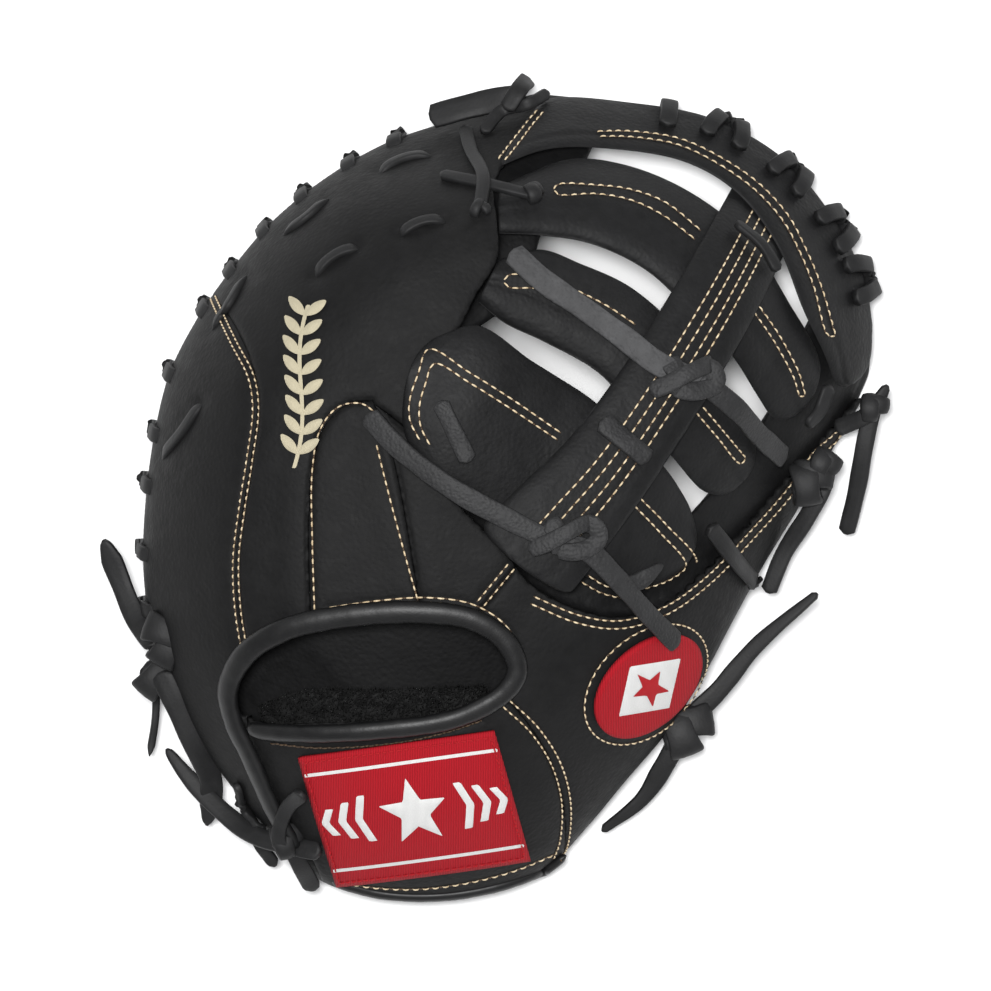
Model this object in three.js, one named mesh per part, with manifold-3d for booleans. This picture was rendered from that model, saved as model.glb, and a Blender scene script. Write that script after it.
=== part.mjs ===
// A left-hand first baseman's mitt lying palm down, seen from the back of the hand.
// Millimetres, +Z up. The fingertips point to +Y, the thumb and the web to +X.
// The origin is the middle of the base that the mitt covers.
import * as THREE from "three";
import { mergeVertices } from "three/addons/utils/BufferGeometryUtils.js";
import Module from "manifold-3d";

const wasm = await Module();
wasm.setup();

// Overall sizes.
const MITT_WIDTH = 266;
const MITT_LENGTH = 295;
const MITT_DEPTH = 110;

// Leather, padding and clearances.
const LEATHER = 2.1;
const SEAM_GAP = 0.5;
const CLEARANCE = 0.4;
const RIM_TOP = 17;
const RIM_WIDTH = 15;
const RIM_LIFT = 12;
const EDGE_ROLL = 52;
const POCKET_ROLL = 46;
const PALM_PAD = 9;
const PALM_WALL = 8;
const HAND_ROOM = 27;
const FINGERTIP_ROOM = 11;
const SHELF_DROP = 14;

// Web, laces, rolls and patches.
const BAR_THICK = 6;
const POST_THICK = 5;
const BAND_THICK = 5;
const LACE_WIDTH = 6.5;
const LACE_THICK = 2.2;
const BINDING_WIDTH = 7;
const BINDING_THICK = 5;
const PATCH_THICK = 1.6;
const PILE_THICK = 7;

// Fineness of the faceted surfaces.
const RING_SIDES = 48;
const RING_SHARES = [1, 0.985, 0.94, 0.87, 0.77, 0.65, 0.5, 0.33, 0.16];
const COARSE_SHARES = [1, 0.94, 0.8, 0.6, 0.3];
const FLOOR = -40;
const SKY = 260;

// The outlines are charted in hundredths of a square that the mitt fills 74 by 82 of,
// a to the right and b towards the fingertips.
const CHART_WIDE = MITT_WIDTH / 74;
const CHART_LONG = MITT_LENGTH / 82;
const at = ([a, b]) => new THREE.Vector2(a * CHART_WIDE, b * CHART_LONG);

const RIM_OUTLINE = [
  [4.5, 41.2], [10, 40.6], [15.5, 39.8], [21.5, 38.7], [26.5, 36.2], [31, 32.4], [34.8, 27.8],
  [37.3, 22.5], [38.1, 16.5], [37.2, 11.2], [34.3, 6], [30.5, -0.5], [26.5, -7], [23.5, -12.4],
  [20.5, -18], [17, -23.4], [12.8, -28.4], [9, -33], [5.6, -36.6], [1, -39.3], [-5, -40.6],
  [-12, -40.4], [-17.5, -39], [-22, -36], [-25, -32], [-28, -28], [-31.2, -24], [-33.5, -19.5],
  [-35.2, -14], [-36.1, -7], [-35.9, 0], [-35, 7], [-33.5, 13], [-31, 18], [-27.6, 23],
  [-23, 28.4], [-17.5, 32.8], [-11.5, 36.2], [-5, 38.4], [0, 40],
];

// Height of the back above the floor, in hundredths of the mitt's depth, at rows along the hand
// and columns across it. The rolled edge takes it down to the rim.
const CROWN_ACROSS = [-40, -25, -10, 5, 20, 40];
const CROWN = [
  { along: 42, heights: [58, 66, 72, 66, 52, 36] },
  { along: 28, heights: [74, 86, 93, 86, 70, 48] },
  { along: 14, heights: [80, 93, 100, 96, 84, 56] },
  { along: 0, heights: [78, 92, 100, 97, 84, 52] },
  { along: -14, heights: [70, 86, 93, 90, 76, 46] },
  { along: -28, heights: [54, 70, 77, 72, 56, 36] },
  { along: -42, heights: [38, 50, 54, 50, 38, 26] },
];

// Openings in plan. The back's web opening is wider than the palm's, whose edge makes a shelf
// that the bars' thumb ends are laced to.
const BACK_WEB_OPENING = [
  [7.5, 47], [4.6, 41], [2, 36], [-0.6, 31.5], [-0.3, 27.5], [-0.3, 23.8], [-2.4, 20.2],
  [-4, 17], [-6.2, 14], [-7.5, 10], [-7, 5], [-4.5, 0], [0, -4.5], [3, -8.3], [7.5, -10.8],
  [12, -11.7], [16.5, -10.4], [20.5, -7.3], [24.5, -3.3], [29, 1.8], [33.5, 6.6], [38, 11.4],
  [46, 16], [46, 47],
];
const PALM_WEB_OPENING = [
  [12.5, 47], [11, 41], [9.6, 36], [7.4, 32], [4.4, 28], [3.4, 24], [1.2, 19.6], [-2.6, 16.8],
  [-5.2, 13.4],
  [-6.2, 10], [-5.6, 5], [-3.2, 1], [2, -2.6], [8, -4.6], [14, -4.2], [19, -1.6], [22, 2],
  [25.5, 6.5], [28.2, 11], [30, 15.6], [31.6, 18.8], [35, 20.8], [40, 23], [46, 25], [46, 47],
];
const WRIST_OPENING = [
  [-26.6, -19], [-25.2, -15], [-21.5, -12.4], [-16, -11.2], [-8, -10.7], [-2.6, -11.4],
  [0.6, -13.6], [1.3, -16.6], [-0.4, -19], [-4, -20.7], [-10, -21.7], [-18, -22.1], [-23.8, -22.2],
  [-26, -21.2],
];

// Seams that part the back into panels. Each runs out past the leather at both ends.
const SEAMS = {
  outer: [
    [-32.5, 24.5], [-29.4, 21], [-26.8, 18], [-24.8, 14], [-23.9, 10], [-24.4, 5], [-25.3, 0],
    [-26.2, -6], [-25.9, -11], [-24.6, -17],
  ],
  tongue_left: [[-18.7, -15], [-18.9, -2], [-18.5, 3], [-17.5, 7], [-15, 9.5], [-12.6, 9.8]],
  tongue_right: [[-12.6, 9.8], [-11.4, 7.5], [-10, 2], [-8, -10], [-7.5, -15]],
  hood: [[-12.8, 9.7], [-9.5, 7.2], [-4, 1]],
  thumb: [[4.5, -2.5], [1.2, -7], [-2, -11.2], [-3.5, -15]],
  strap_right: [[-1.5, -17], [2, -21.2], [4.5, -25], [6.2, -30], [6.6, -35], [5.4, -41]],
  strap_left: [[-25.5, -20], [-24.6, -25.5], [-21.8, -31], [-18.8, -36.5], [-17, -42]],
};

// One point inside each panel.
const PANELS = {
  outer_panel: [-31, 0],
  finger_panel: [-15, 22],
  index_tongue: [-14, 0],
  hand_panel: [-5, -5],
  thumb_panel: [14, -18],
  wrist_strap: [-8, -32],
};

// Straps of the web. Each row is a section: its edge towards the fingertips and its edge towards
// the heel, both charted, and the height of its underside above the back's surface.
const BAR_REST = -CLEARANCE - BAR_THICK - 1;
const SHELF_REST = CLEARANCE - SHELF_DROP;
const TOP_REST = CLEARANCE + 0.7;
const WEB_REST = -0.6;
const BARS = {
  web_bar_top: [
    { tip: [0.2, 31.2], heel: [0.3, 26.4], rest: BAR_REST - 2 },
    { tip: [7, 34.1], heel: [4, 26.2], rest: BAR_REST - 1 },
    { tip: [12.5, 33.6], heel: [9, 25.4], rest: BAR_REST },
    { tip: [18.8, 31], heel: [14.5, 22.8], rest: BAR_REST },
    { tip: [24.5, 26.6], heel: [19, 18.6], rest: BAR_REST },
    { tip: [29, 19.8], heel: [22.9, 14.6], rest: BAR_REST - 1 },
    { tip: [32, 14.6], heel: [25.6, 10.6], rest: SHELF_REST + 2 },
    { tip: [32.6, 11], heel: [28, 7], rest: SHELF_REST },
  ],
  web_bar_middle: [
    { tip: [0.3, 23.8], heel: [-1.9, 19.6], rest: BAR_REST - 2 },
    { tip: [4, 24.8], heel: [0.4, 17.5], rest: BAR_REST - 1 },
    { tip: [8, 23.4], heel: [4.4, 15.6], rest: BAR_REST },
    { tip: [12.8, 21.2], heel: [9.8, 12.5], rest: BAR_REST },
    { tip: [17.5, 17.2], heel: [13.8, 7.9], rest: BAR_REST },
    { tip: [21.5, 12.5], heel: [17.4, 3.9], rest: BAR_REST - 1 },
    { tip: [24.6, 8.2], heel: [19.2, 1.8], rest: SHELF_REST + 2 },
    { tip: [26.5, 3.9], heel: [21.8, -0.6], rest: SHELF_REST },
  ],
  web_bar_lower: [
    { tip: [-8.2, 15], heel: [-9.8, 10], rest: TOP_REST },
    { tip: [-5.4, 16.4], heel: [-9.2, 6], rest: TOP_REST },
    { tip: [-2.2, 17.2], heel: [-6.8, 2.8], rest: TOP_REST + 0.3 },
    { tip: [3, 13.8], heel: [-1.4, -1.2], rest: BAR_REST + 4 },
    { tip: [5.6, 12.2], heel: [0.8, -3.8], rest: BAR_REST },
    { tip: [9, 10], heel: [4, -5.4], rest: BAR_REST },
    { tip: [13.2, 6.2], heel: [9, -7.8], rest: BAR_REST - 1 },
    { tip: [16.6, 2.9], heel: [13.4, -9], rest: SHELF_REST + 1 },
    { tip: [20.2, -2.8], heel: [18.4, -7.6], rest: SHELF_REST },
  ],
};
const POST = [
  { tip: [-2.4, -3.2], heel: [6.3, -9.9], rest: TOP_REST },
  { tip: [-1.2, -1.8], heel: [7.6, -8.4], rest: TOP_REST },
  { tip: [2.4, 1.8], heel: [9.6, -5.8], rest: WEB_REST + 1 },
  { tip: [6.9, 6.2], heel: [14, 0.2], rest: WEB_REST },
  { tip: [12.4, 13.5], heel: [19, 7.8], rest: WEB_REST },
  { tip: [17.6, 21.6], heel: [24, 16], rest: WEB_REST },
  { tip: [20.6, 26.6], heel: [26.8, 21.2], rest: WEB_REST },
  { tip: [22.5, 30.5], heel: [28, 24], rest: WEB_REST },
];
const BAND = [
  { tip: [3.9, 40.4], heel: [-0.6, 33], rest: TOP_REST },
  { tip: [6.8, 40.7], heel: [4.6, 35], rest: TOP_REST },
  { tip: [12.1, 40.3], heel: [10.6, 35.2], rest: WEB_REST },
  { tip: [21.2, 38.7], heel: [18.6, 33.9], rest: WEB_REST },
  { tip: [28.7, 34.6], heel: [23.8, 30.8], rest: WEB_REST },
  { tip: [34.2, 28], heel: [27.8, 25.5], rest: WEB_REST },
  { tip: [37.2, 21.6], heel: [30.4, 19], rest: WEB_REST },
  { tip: [37.7, 15], heel: [32.8, 14.2], rest: WEB_REST },
  { tip: [36.9, 12.2], heel: [34, 11], rest: WEB_REST },
];

// Patches on the strap and the thumb: middle, size, turn, and how far the sides lean.
const LABEL = { middle: [-8.5, -30.7], wide: 70, long: 49, turn: 8, lean: 0.12 };
const OVAL = { middle: [14.6, -18.4], wide: 45, long: 28.5, turn: 43, lean: 0 };

// Rolled bindings, as lines along their middle.
const BINDINGS = {
  wrist_binding: [
    [-20.2, -34.6], [-22.4, -30.4], [-24.6, -25.2], [-26.2, -21.6], [-26.6, -18.4], [-24.8, -15],
    [-21, -12.6], [-15, -11.3], [-8, -10.9], [-2.8, -11.6], [0.5, -13.8], [1.3, -16.4],
    [0, -18.8],
  ],
  strap_binding: [
    [-23.2, -22.6], [-18.6, -22.8], [-11, -22.4], [-5, -21.5], [-1.6, -20.1],
  ],
};

// Laces. A strand's rows are charted places with the height of its middle, either as a lift above
// the back or as a level above the floor in hundredths of the mitt's depth.
const ON_BACK = CLEARANCE + LACE_THICK / 2 + 0.3;
const ON_POST = WEB_REST + POST_THICK + ON_BACK;
const LACES = {
  lace_web_upper: {
    strands: [
      [
        { at: [1, 24.4], lift: ON_BACK }, { at: [4, 21.6], lift: 2.4 },
        { at: [8, 18.8], lift: 2.8 }, { at: [11.6, 16], lift: 5 },
        { at: [15.5, 13], lift: ON_POST + 0.4 }, { at: [19.5, 11.6], lift: ON_POST + 1 },
        { at: [22.4, 9.2], lift: ON_POST }, { at: [25.2, 6.8], lift: 2.6 },
        { at: [28.2, 4.4], lift: 1.6 },
      ],
    ],
    knots: [{ at: [18.8, 11.8], lift: ON_POST + 2, long: 15, wide: 12, tall: 6, turn: -35 }],
  },
  lace_web_lower: {
    strands: [
      [
        { at: [-13, 8.4], lift: ON_BACK }, { at: [-10, 5.2], lift: ON_BACK + 2 },
        { at: [-5, 1.4], lift: 7.6 }, { at: [0, -1.4], lift: 8.4 },
        { at: [4.6, -3.6], lift: 8.8 }, { at: [8, -4.6], lift: 8.6 },
        { at: [11, -7.4], lift: 5.6 }, { at: [14, -10.8], lift: 3 },
        { at: [17, -14.2], lift: ON_BACK + PATCH_THICK + 1 },
      ],
    ],
    knots: [{ at: [6.8, -4.2], lift: 9, long: 15, wide: 12, tall: 6, turn: -30 }],
  },
  lace_post_low: {
    strands: [[{ at: [9.9, 7.2], lift: ON_POST - 1 }, { at: [13, 3.9], lift: ON_POST - 1 }]],
  },
  lace_post_high: {
    strands: [[{ at: [23.4, 26.2], lift: ON_POST - 2 }, { at: [26.2, 22.6], lift: ON_POST - 2 }]],
  },
  lace_hood: {
    strands: [[{ at: [-6, 9.6], lift: TOP_REST + 7.4 }, { at: [-3.2, 3.8], lift: TOP_REST + 7 }]],
  },
  lace_thumb_edge: {
    strands: [
      [
        { at: [21.2, -2.8], lift: ON_BACK - 3 }, { at: [23, -5.6], lift: ON_BACK },
        { at: [25.2, -8.2], lift: ON_BACK + 1 },
      ],
    ],
  },
  knot_fingertip: {
    strands: [
      [
        { at: [-7, 39.4], level: 34 }, { at: [-3, 40.4], level: 36 },
        { at: [1.4, 41.2], level: 38 }, { at: [4, 39.2], lift: ON_BACK + 2 },
      ],
      [{ at: [2.6, 42.2], level: 30 }, { at: [2.2, 40], level: 40 }, { at: [0.6, 37.4], lift: 3 }],
    ],
    knots: [{ at: [2.2, 40.8], level: 37, long: 9, wide: 9, tall: 6, turn: 60 }],
  },
  lace_fingertip_cross: {
    strands: [
      [
        { at: [-3.2, 37], lift: ON_BACK }, { at: [-2.4, 34], lift: ON_BACK },
        { at: [-1.4, 31], lift: ON_BACK + 2 }, { at: [-2, 28.4], lift: ON_BACK },
      ],
      [{ at: [-6, 31.4], lift: ON_BACK }, { at: [-2, 30.6], lift: ON_BACK }, { at: [0.4, 30], lift: 2.4 }],
    ],
  },
  knot_little_finger: {
    strands: [
      [
        { at: [-40, -4], level: 34 }, { at: [-38.6, -7.6], level: 30 },
        { at: [-36.6, -12], level: 27 }, { at: [-34.2, -15.6], level: 27 },
      ],
      [
        { at: [-34, -16], level: 27 }, { at: [-33.6, -20], level: 24 },
        { at: [-31, -24.6], level: 21 }, { at: [-29.6, -29], level: 20 },
        { at: [-29.4, -32.8], level: 19 },
      ],
      [{ at: [-34.6, -17], level: 22 }, { at: [-34.8, -22], level: 19 }, { at: [-35.2, -26], level: 18 }],
    ],
    knots: [{ at: [-34, -15.8], level: 27, long: 20, wide: 14, tall: 9, turn: -70 }],
  },
  knot_strap: {
    strands: [
      [
        { at: [-34, -25.6], level: 22 }, { at: [-31, -29], level: 23 },
        { at: [-27.6, -32.2], level: 25 }, { at: [-23.4, -34], level: 30 },
        { at: [-20.4, -34.8], level: 42 }, { at: [-18.6, -35.2], level: 48 },
      ],
      [{ at: [-18, -29.8], lift: 2.4 }, { at: [-20, -32], level: 52 }, { at: [-21, -35], level: 44 },
        { at: [-19.4, -38.4], level: 22 }, { at: [-18.6, -39.8], level: 14 }],
      [{ at: [-23.6, -33.8], level: 26 }, { at: [-22.4, -37], level: 20 }],
    ],
    knots: [{ at: [-20.8, -34.4], level: 43, long: 15, wide: 12, tall: 8, turn: 40 }],
  },
  knot_thumb_tip: {
    strands: [
      [{ at: [33.6, 7.4], lift: 1.8 }, { at: [36, 9.4], level: 29 }, { at: [39.2, 11.6], level: 30 }],
      [
        { at: [37.6, 10.4], level: 29 }, { at: [37, 6], level: 26 }, { at: [36.2, 1], level: 20 },
        { at: [35.2, -3.4], level: 14 },
      ],
    ],
    knots: [{ at: [37, 10], level: 29, long: 11, wide: 9, tall: 8, turn: 30 }],
  },
  knot_thumb_side: {
    strands: [
      [
        { at: [33.6, 4.8], level: 27 }, { at: [32, 1.6], level: 29 }, { at: [30.6, -1.4], level: 26 },
        { at: [28.8, -5.4], level: 22 }, { at: [27.2, -9.4], level: 19 },
      ],
    ],
    knots: [{ at: [31.8, 2], level: 29, long: 17, wide: 12, tall: 9, turn: 50 }],
  },
  knot_thumb_heel: {
    strands: [
      [
        { at: [17.4, -25.8], level: 22 }, { at: [19, -22.4], level: 26 }, { at: [22, -19.4], level: 28 },
        { at: [26, -14.6], level: 32 }, { at: [32, -9.4], level: 36 },
      ],
      [
        { at: [18.4, -23.6], level: 25 }, { at: [16.6, -27], level: 21 }, { at: [14.4, -30.4], level: 17 },
        { at: [10.4, -33.6], level: 12 },
      ],
    ],
    knots: [{ at: [18.7, -23.4], level: 25, long: 18, wide: 13, tall: 8, turn: 50 }],
  },
};

// Long lace stitches that hold the palm's padding, each from one hole to the next.
const PAD_STITCHES = [
  { from: [-12.2, 32.8], to: [-6.8, 34.6] },
  { from: [-21.8, 26.7], to: [-17.3, 30.3] },
  { from: [-18.4, 22.2], to: [-14, 25.1] },
  { from: [-29, 17.1], to: [-25.6, 22.6] },
  { from: [-10, 26.2], to: [-5.4, 27.7] },
  { from: [-34.2, 4.2], to: [-29.8, 9.8] },
];

// Whip lacing over the rim, as shares of the way round the outline from its first point.
const RIM_LOOPS = [0.935, 0.913, 0.889, 0.867, 0.846, 0.826, 0.796, 0.77, 0.748, 0.72, 0.696];
const BAND_LOOPS = [0.052, 0.072, 0.085, 0.104, 0.12, 0.135, 0.15, 0.161, 0.174];
const LOOP_REACH = 4;
const LOOP_SLANT = 5;
const BAND_REACH = 9;

// The pile that lines the strap: its edge in the wrist opening and its edge under the strap.
const PILE_EDGE = [[-24.2, -20.6], [-20, -19], [-12, -18.8], [-5, -18.6], [-1.6, -18.4]];
const PILE_UNDER = [[-23.2, -25.4], [-19, -27], [-11.6, -27.4], [-5, -26.6], [0.4, -24]];

// A smooth line through charted points, as even points in millimetres.
function line(charted, count, closed = false) {
  const points = charted.map((p) => new THREE.Vector3(...at(p), 0));
  const curve = new THREE.CatmullRomCurve3(points, closed, "centripetal");
  const found = curve.getSpacedPoints(count);
  if (closed) found.pop();
  return found.map((p) => new THREE.Vector2(p.x, p.y));
}

const rimLine = line(RIM_OUTLINE, 460, true);

// Distance in from the rim's outline. Near the rim it is the plain distance. Further in it is
// evened out, so that the dome has no crease.
function rimDistance(x, y) {
  let nearest = Infinity;
  let pull = 0;
  rimLine.forEach((p, i) => {
    const q = rimLine[(i + 1) % rimLine.length];
    const dx = q.x - p.x;
    const dy = q.y - p.y;
    const step = Math.hypot(dx, dy);
    const along = ((x - p.x) * dx + (y - p.y) * dy) / (step * step);
    const t = THREE.MathUtils.clamp(along, 0, 1);
    const gap = Math.hypot(x - p.x - t * dx, y - p.y - t * dy);
    nearest = Math.min(nearest, gap);
    pull += step / Math.max(gap, 1) ** 5;
  });
  const even = (4 / 3 / pull) ** 0.25;
  const blend = THREE.MathUtils.smoothstep(nearest, 3, 12);
  return nearest + (even - nearest) * blend;
}

// Cubic through four values, for the crown's table.
function cubic(v0, v1, v2, v3, t) {
  const m1 = (v2 - v0) / 2;
  const m2 = (v3 - v1) / 2;
  const t2 = t * t;
  const t3 = t2 * t;
  return (2 * t3 - 3 * t2 + 1) * v1 + (t3 - 2 * t2 + t) * m1 + (3 * t2 - 2 * t3) * v2
    + (t3 - t2) * m2;
}

// Smooth value of a row of numbers, at a place among its rising stations.
function along(stations, values, place) {
  const last = stations.length - 1;
  const spot = THREE.MathUtils.clamp(place, stations[0], stations[last]);
  let i = stations.findIndex((s, k) => k < last && spot <= stations[k + 1]);
  i = Math.max(0, i);
  const t = (spot - stations[i]) / (stations[i + 1] - stations[i]);
  const value = (k) => values[THREE.MathUtils.clamp(k, 0, last)];
  return cubic(value(i - 1), value(i), value(i + 1), value(i + 2), t);
}

const CROWN_ALONG = CROWN.map((row) => row.along).reverse();
function crown(x, y) {
  const rows = CROWN.map((row) => along(CROWN_ACROSS, row.heights, x / CHART_WIDE)).reverse();
  return (along(CROWN_ALONG, rows, y / CHART_LONG) * MITT_DEPTH) / 100;
}

// The rim touches the floor at the thumb, the fingertips and the heel, and lifts in between.
const CONTACT_TURN = 20;
const CONTACT_FLAT = 0.13;
function rimLift(x, y) {
  const turn = Math.atan2(y, x) - THREE.MathUtils.degToRad(CONTACT_TURN);
  const wave = (1 - Math.cos(3 * turn)) / 2;
  return (RIM_LIFT * Math.max(0, wave - CONTACT_FLAT)) / (1 - CONTACT_FLAT);
}

const quarterRound = (t) => Math.sqrt(1 - (1 - THREE.MathUtils.clamp(t, 0, 1)) ** 2);

// Share of the dome's height at t of the way in from the rim: steep over the fingers, and
// flatter towards the web.
const WEB_TURN = 40;
const WEB_SLOPE_FROM = 10;
const WEB_SLOPE_TO = 95;
function edgeShare(x, y, t) {
  const turn = THREE.MathUtils.degToRad(WEB_TURN);
  const reach = x * Math.cos(turn) + y * Math.sin(turn);
  const flat = THREE.MathUtils.smoothstep(reach, WEB_SLOPE_FROM, WEB_SLOPE_TO);
  const inside = THREE.MathUtils.clamp(t, 0, 1);
  return quarterRound(t) * (1 - flat) + inside * (2 - inside) * flat;
}

// Height of the back, moved in and down by the same thickness. The extra drop lowers the dome
// and leaves the rim.
function backHeight(x, y, inset = 0, drop = 0) {
  const base = RIM_TOP + rimLift(x, y) - inset;
  const top = crown(x, y) - inset - drop;
  return base + (top - base) * edgeShare(x, y, (rimDistance(x, y) - inset) / EDGE_ROLL);
}

// Room for the hand between the palm and the back, less towards the fingertips.
function room(y) {
  const share = THREE.MathUtils.smoothstep(y / CHART_LONG, -20, 34);
  return HAND_ROOM + (FINGERTIP_ROOM - HAND_ROOM) * share;
}

const palmFloorHeight = (x, y) => backHeight(x, y, LEATHER, room(y));

const shelfHeight = (x, y) => backHeight(x, y, 0, SHELF_DROP);

function pocketHeight(x, y) {
  const base = rimLift(x, y);
  const top = crown(x, y) - LEATHER - room(y) - PALM_PAD;
  const inside = rimDistance(x, y) - RIM_WIDTH;
  return base + (top - base) * edgeShare(x, y, inside / POCKET_ROLL);
}

// Between three.js geometry and solids.
function solid(positions, triangles) {
  const made = new wasm.Manifold(
    new wasm.Mesh({
      numProp: 3,
      vertProperties: new Float32Array(positions),
      triVerts: new Uint32Array(triangles),
    }),
  );
  return made;
}

function solidOf(geometry) {
  const bare = geometry.clone();
  bare.deleteAttribute("normal");
  bare.deleteAttribute("uv");
  const merged = mergeVertices(bare, 1e-4);
  return solid(merged.attributes.position.array, merged.index.array);
}

function geometryOf(made) {
  const { numProp, numVert, vertProperties, triVerts } = made.getMesh();
  const positions = new Float32Array(numVert * 3);
  for (let i = 0; i < numVert; i += 1) {
    positions.set(vertProperties.subarray(i * numProp, i * numProp + 3), i * 3);
  }
  const geometry = new THREE.BufferGeometry();
  geometry.setAttribute("position", new THREE.BufferAttribute(positions, 3));
  geometry.setIndex(new THREE.BufferAttribute(triVerts, 1));
  geometry.computeVertexNormals();
  return geometry;
}

// Rings round the rim's outline, moved in by inset, joined to a middle point.
function ringPoints(inset) {
  const outline = line(RIM_OUTLINE, RING_SIDES, true);
  const moved = outline.map((p, i) => {
    const before = outline[(i + RING_SIDES - 1) % RING_SIDES];
    const after = outline[(i + 1) % RING_SIDES];
    const inward = new THREE.Vector2(before.y - after.y, after.x - before.x).normalize();
    return p.clone().addScaledVector(inward, inset * Math.sign(windingOf(outline)));
  });
  return moved;
}

const windingOf = (outline) => THREE.ShapeUtils.area(outline);

// A dome from the floor up to height(x, y), over the rim's outline moved in by inset.
function dome(inset, height, shares = RING_SHARES) {
  const outline = ringPoints(inset);
  const positions = [];
  for (const share of shares) {
    for (const p of outline) {
      const x = p.x * share;
      const y = p.y * share;
      positions.push(x, y, height(x, y));
    }
  }
  const rings = shares.length;
  const apex = rings * RING_SIDES;
  positions.push(0, 0, height(0, 0));
  const base = apex + 1;
  outline.forEach((p) => positions.push(p.x, p.y, FLOOR));
  const foot = base + RING_SIDES;
  positions.push(0, 0, FLOOR);
  const triangles = [];
  for (let i = 0; i < RING_SIDES; i += 1) {
    const j = (i + 1) % RING_SIDES;
    for (let k = 0; k + 1 < rings; k += 1) {
      const [p, q] = [k * RING_SIDES + i, k * RING_SIDES + j];
      triangles.push(p, q, q + RING_SIDES, p, q + RING_SIDES, p + RING_SIDES);
    }
    const last = (rings - 1) * RING_SIDES;
    triangles.push(last + i, last + j, apex);
    triangles.push(base + i, base + j, j, base + i, j, i);
    triangles.push(foot, base + j, base + i);
  }
  if (windingOf(outline) < 0) {
    for (let i = 0; i < triangles.length; i += 3) {
      [triangles[i + 1], triangles[i + 2]] = [triangles[i + 2], triangles[i + 1]];
    }
  }
  return solid(positions, triangles);
}

// Height of the back's own facets, for the pieces that lie on it.
function facetHeight(x, y) {
  for (let i = 0; i < RING_SIDES; i += 1) {
    const p = backRing[i];
    const q = backRing[(i + 1) % RING_SIDES];
    const whole = p.x * q.y - p.y * q.x;
    const towardP = (x * q.y - y * q.x) / whole;
    const towardQ = (p.x * y - p.y * x) / whole;
    const share = towardP + towardQ;
    if (towardP >= 0 && towardQ >= 0 && share <= 1) {
      return heightAmong(p, q, towardP, towardQ);
    }
  }
  return backHeight(x, y);
}

// Height between two spokes of the back's rings, on the facet that holds the place.
function heightAmong(p, q, towardP, towardQ) {
  const share = towardP + towardQ;
  const k = RING_SHARES.findLastIndex((ring) => ring >= share);
  const outer = RING_SHARES[k];
  const inner = RING_SHARES[k + 1] ?? 0;
  const heightOf = (corner, ring) => backHeight(corner.x * ring, corner.y * ring);
  if (towardP / outer + towardQ / inner >= 1 || inner === 0) {
    const wholeP = towardP / outer;
    const wholeQ = (towardQ - inner * (1 - wholeP)) / (outer - inner);
    return heightOf(p, outer) * wholeP + heightOf(q, outer) * wholeQ
      + heightOf(q, inner) * (1 - wholeP - wholeQ);
  }
  const wholeQ = towardQ / inner;
  const wholeP = (towardP - inner * (1 - wholeQ)) / (outer - inner);
  return heightOf(p, outer) * wholeP + heightOf(q, inner) * wholeQ
    + heightOf(p, inner) * (1 - wholeP - wholeQ);
}

// An upright prism over a closed outline.
function prism(outline, low = FLOOR * 2, high = SKY) {
  const shape = new THREE.Shape(outline);
  const geometry = new THREE.ExtrudeGeometry(shape, { depth: high - low, bevelEnabled: false });
  geometry.translate(0, 0, low);
  return solidOf(geometry);
}

// A thin upright wall along a seam.
function seamWall(charted) {
  const points = line(charted, charted.length * 2);
  const sides = [[], []];
  points.forEach((p, i) => {
    const before = points[Math.max(0, i - 1)];
    const after = points[Math.min(points.length - 1, i + 1)];
    const side = new THREE.Vector2(before.y - after.y, after.x - before.x).normalize();
    sides[0].push(p.clone().addScaledVector(side, SEAM_GAP / 2));
    sides[1].unshift(p.clone().addScaledVector(side, -SEAM_GAP / 2));
  });
  return prism([...sides[0], ...sides[1]]);
}

// A closed solid between two grids of points of the same size.
function between(top, bottom) {
  const rows = top.length;
  const columns = top[0].length;
  const positions = [...top.flat(), ...bottom.flat()].flatMap((p) => p.toArray());
  const upper = (i, j) => i * columns + j;
  const lower = (i, j) => rows * columns + i * columns + j;
  const triangles = [];
  const quad = (p, q, r, s) => triangles.push(p, q, r, p, r, s);
  for (let i = 0; i + 1 < rows; i += 1) {
    for (let j = 0; j + 1 < columns; j += 1) {
      quad(upper(i, j), upper(i + 1, j), upper(i + 1, j + 1), upper(i, j + 1));
      quad(lower(i, j), lower(i, j + 1), lower(i + 1, j + 1), lower(i + 1, j));
    }
    quad(upper(i + 1, 0), upper(i, 0), lower(i, 0), lower(i + 1, 0));
    quad(upper(i, columns - 1), upper(i + 1, columns - 1), lower(i + 1, columns - 1),
      lower(i, columns - 1));
  }
  for (let j = 0; j + 1 < columns; j += 1) {
    quad(upper(0, j), upper(0, j + 1), lower(0, j + 1), lower(0, j));
    quad(upper(rows - 1, j + 1), upper(rows - 1, j), lower(rows - 1, j),
      lower(rows - 1, j + 1));
  }
  const made = solid(positions, triangles);
  if (made.volume() > 0) return made;
  for (let i = 0; i < triangles.length; i += 3) {
    [triangles[i + 1], triangles[i + 2]] = [triangles[i + 2], triangles[i + 1]];
  }
  return solid(positions, triangles);
}

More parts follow.
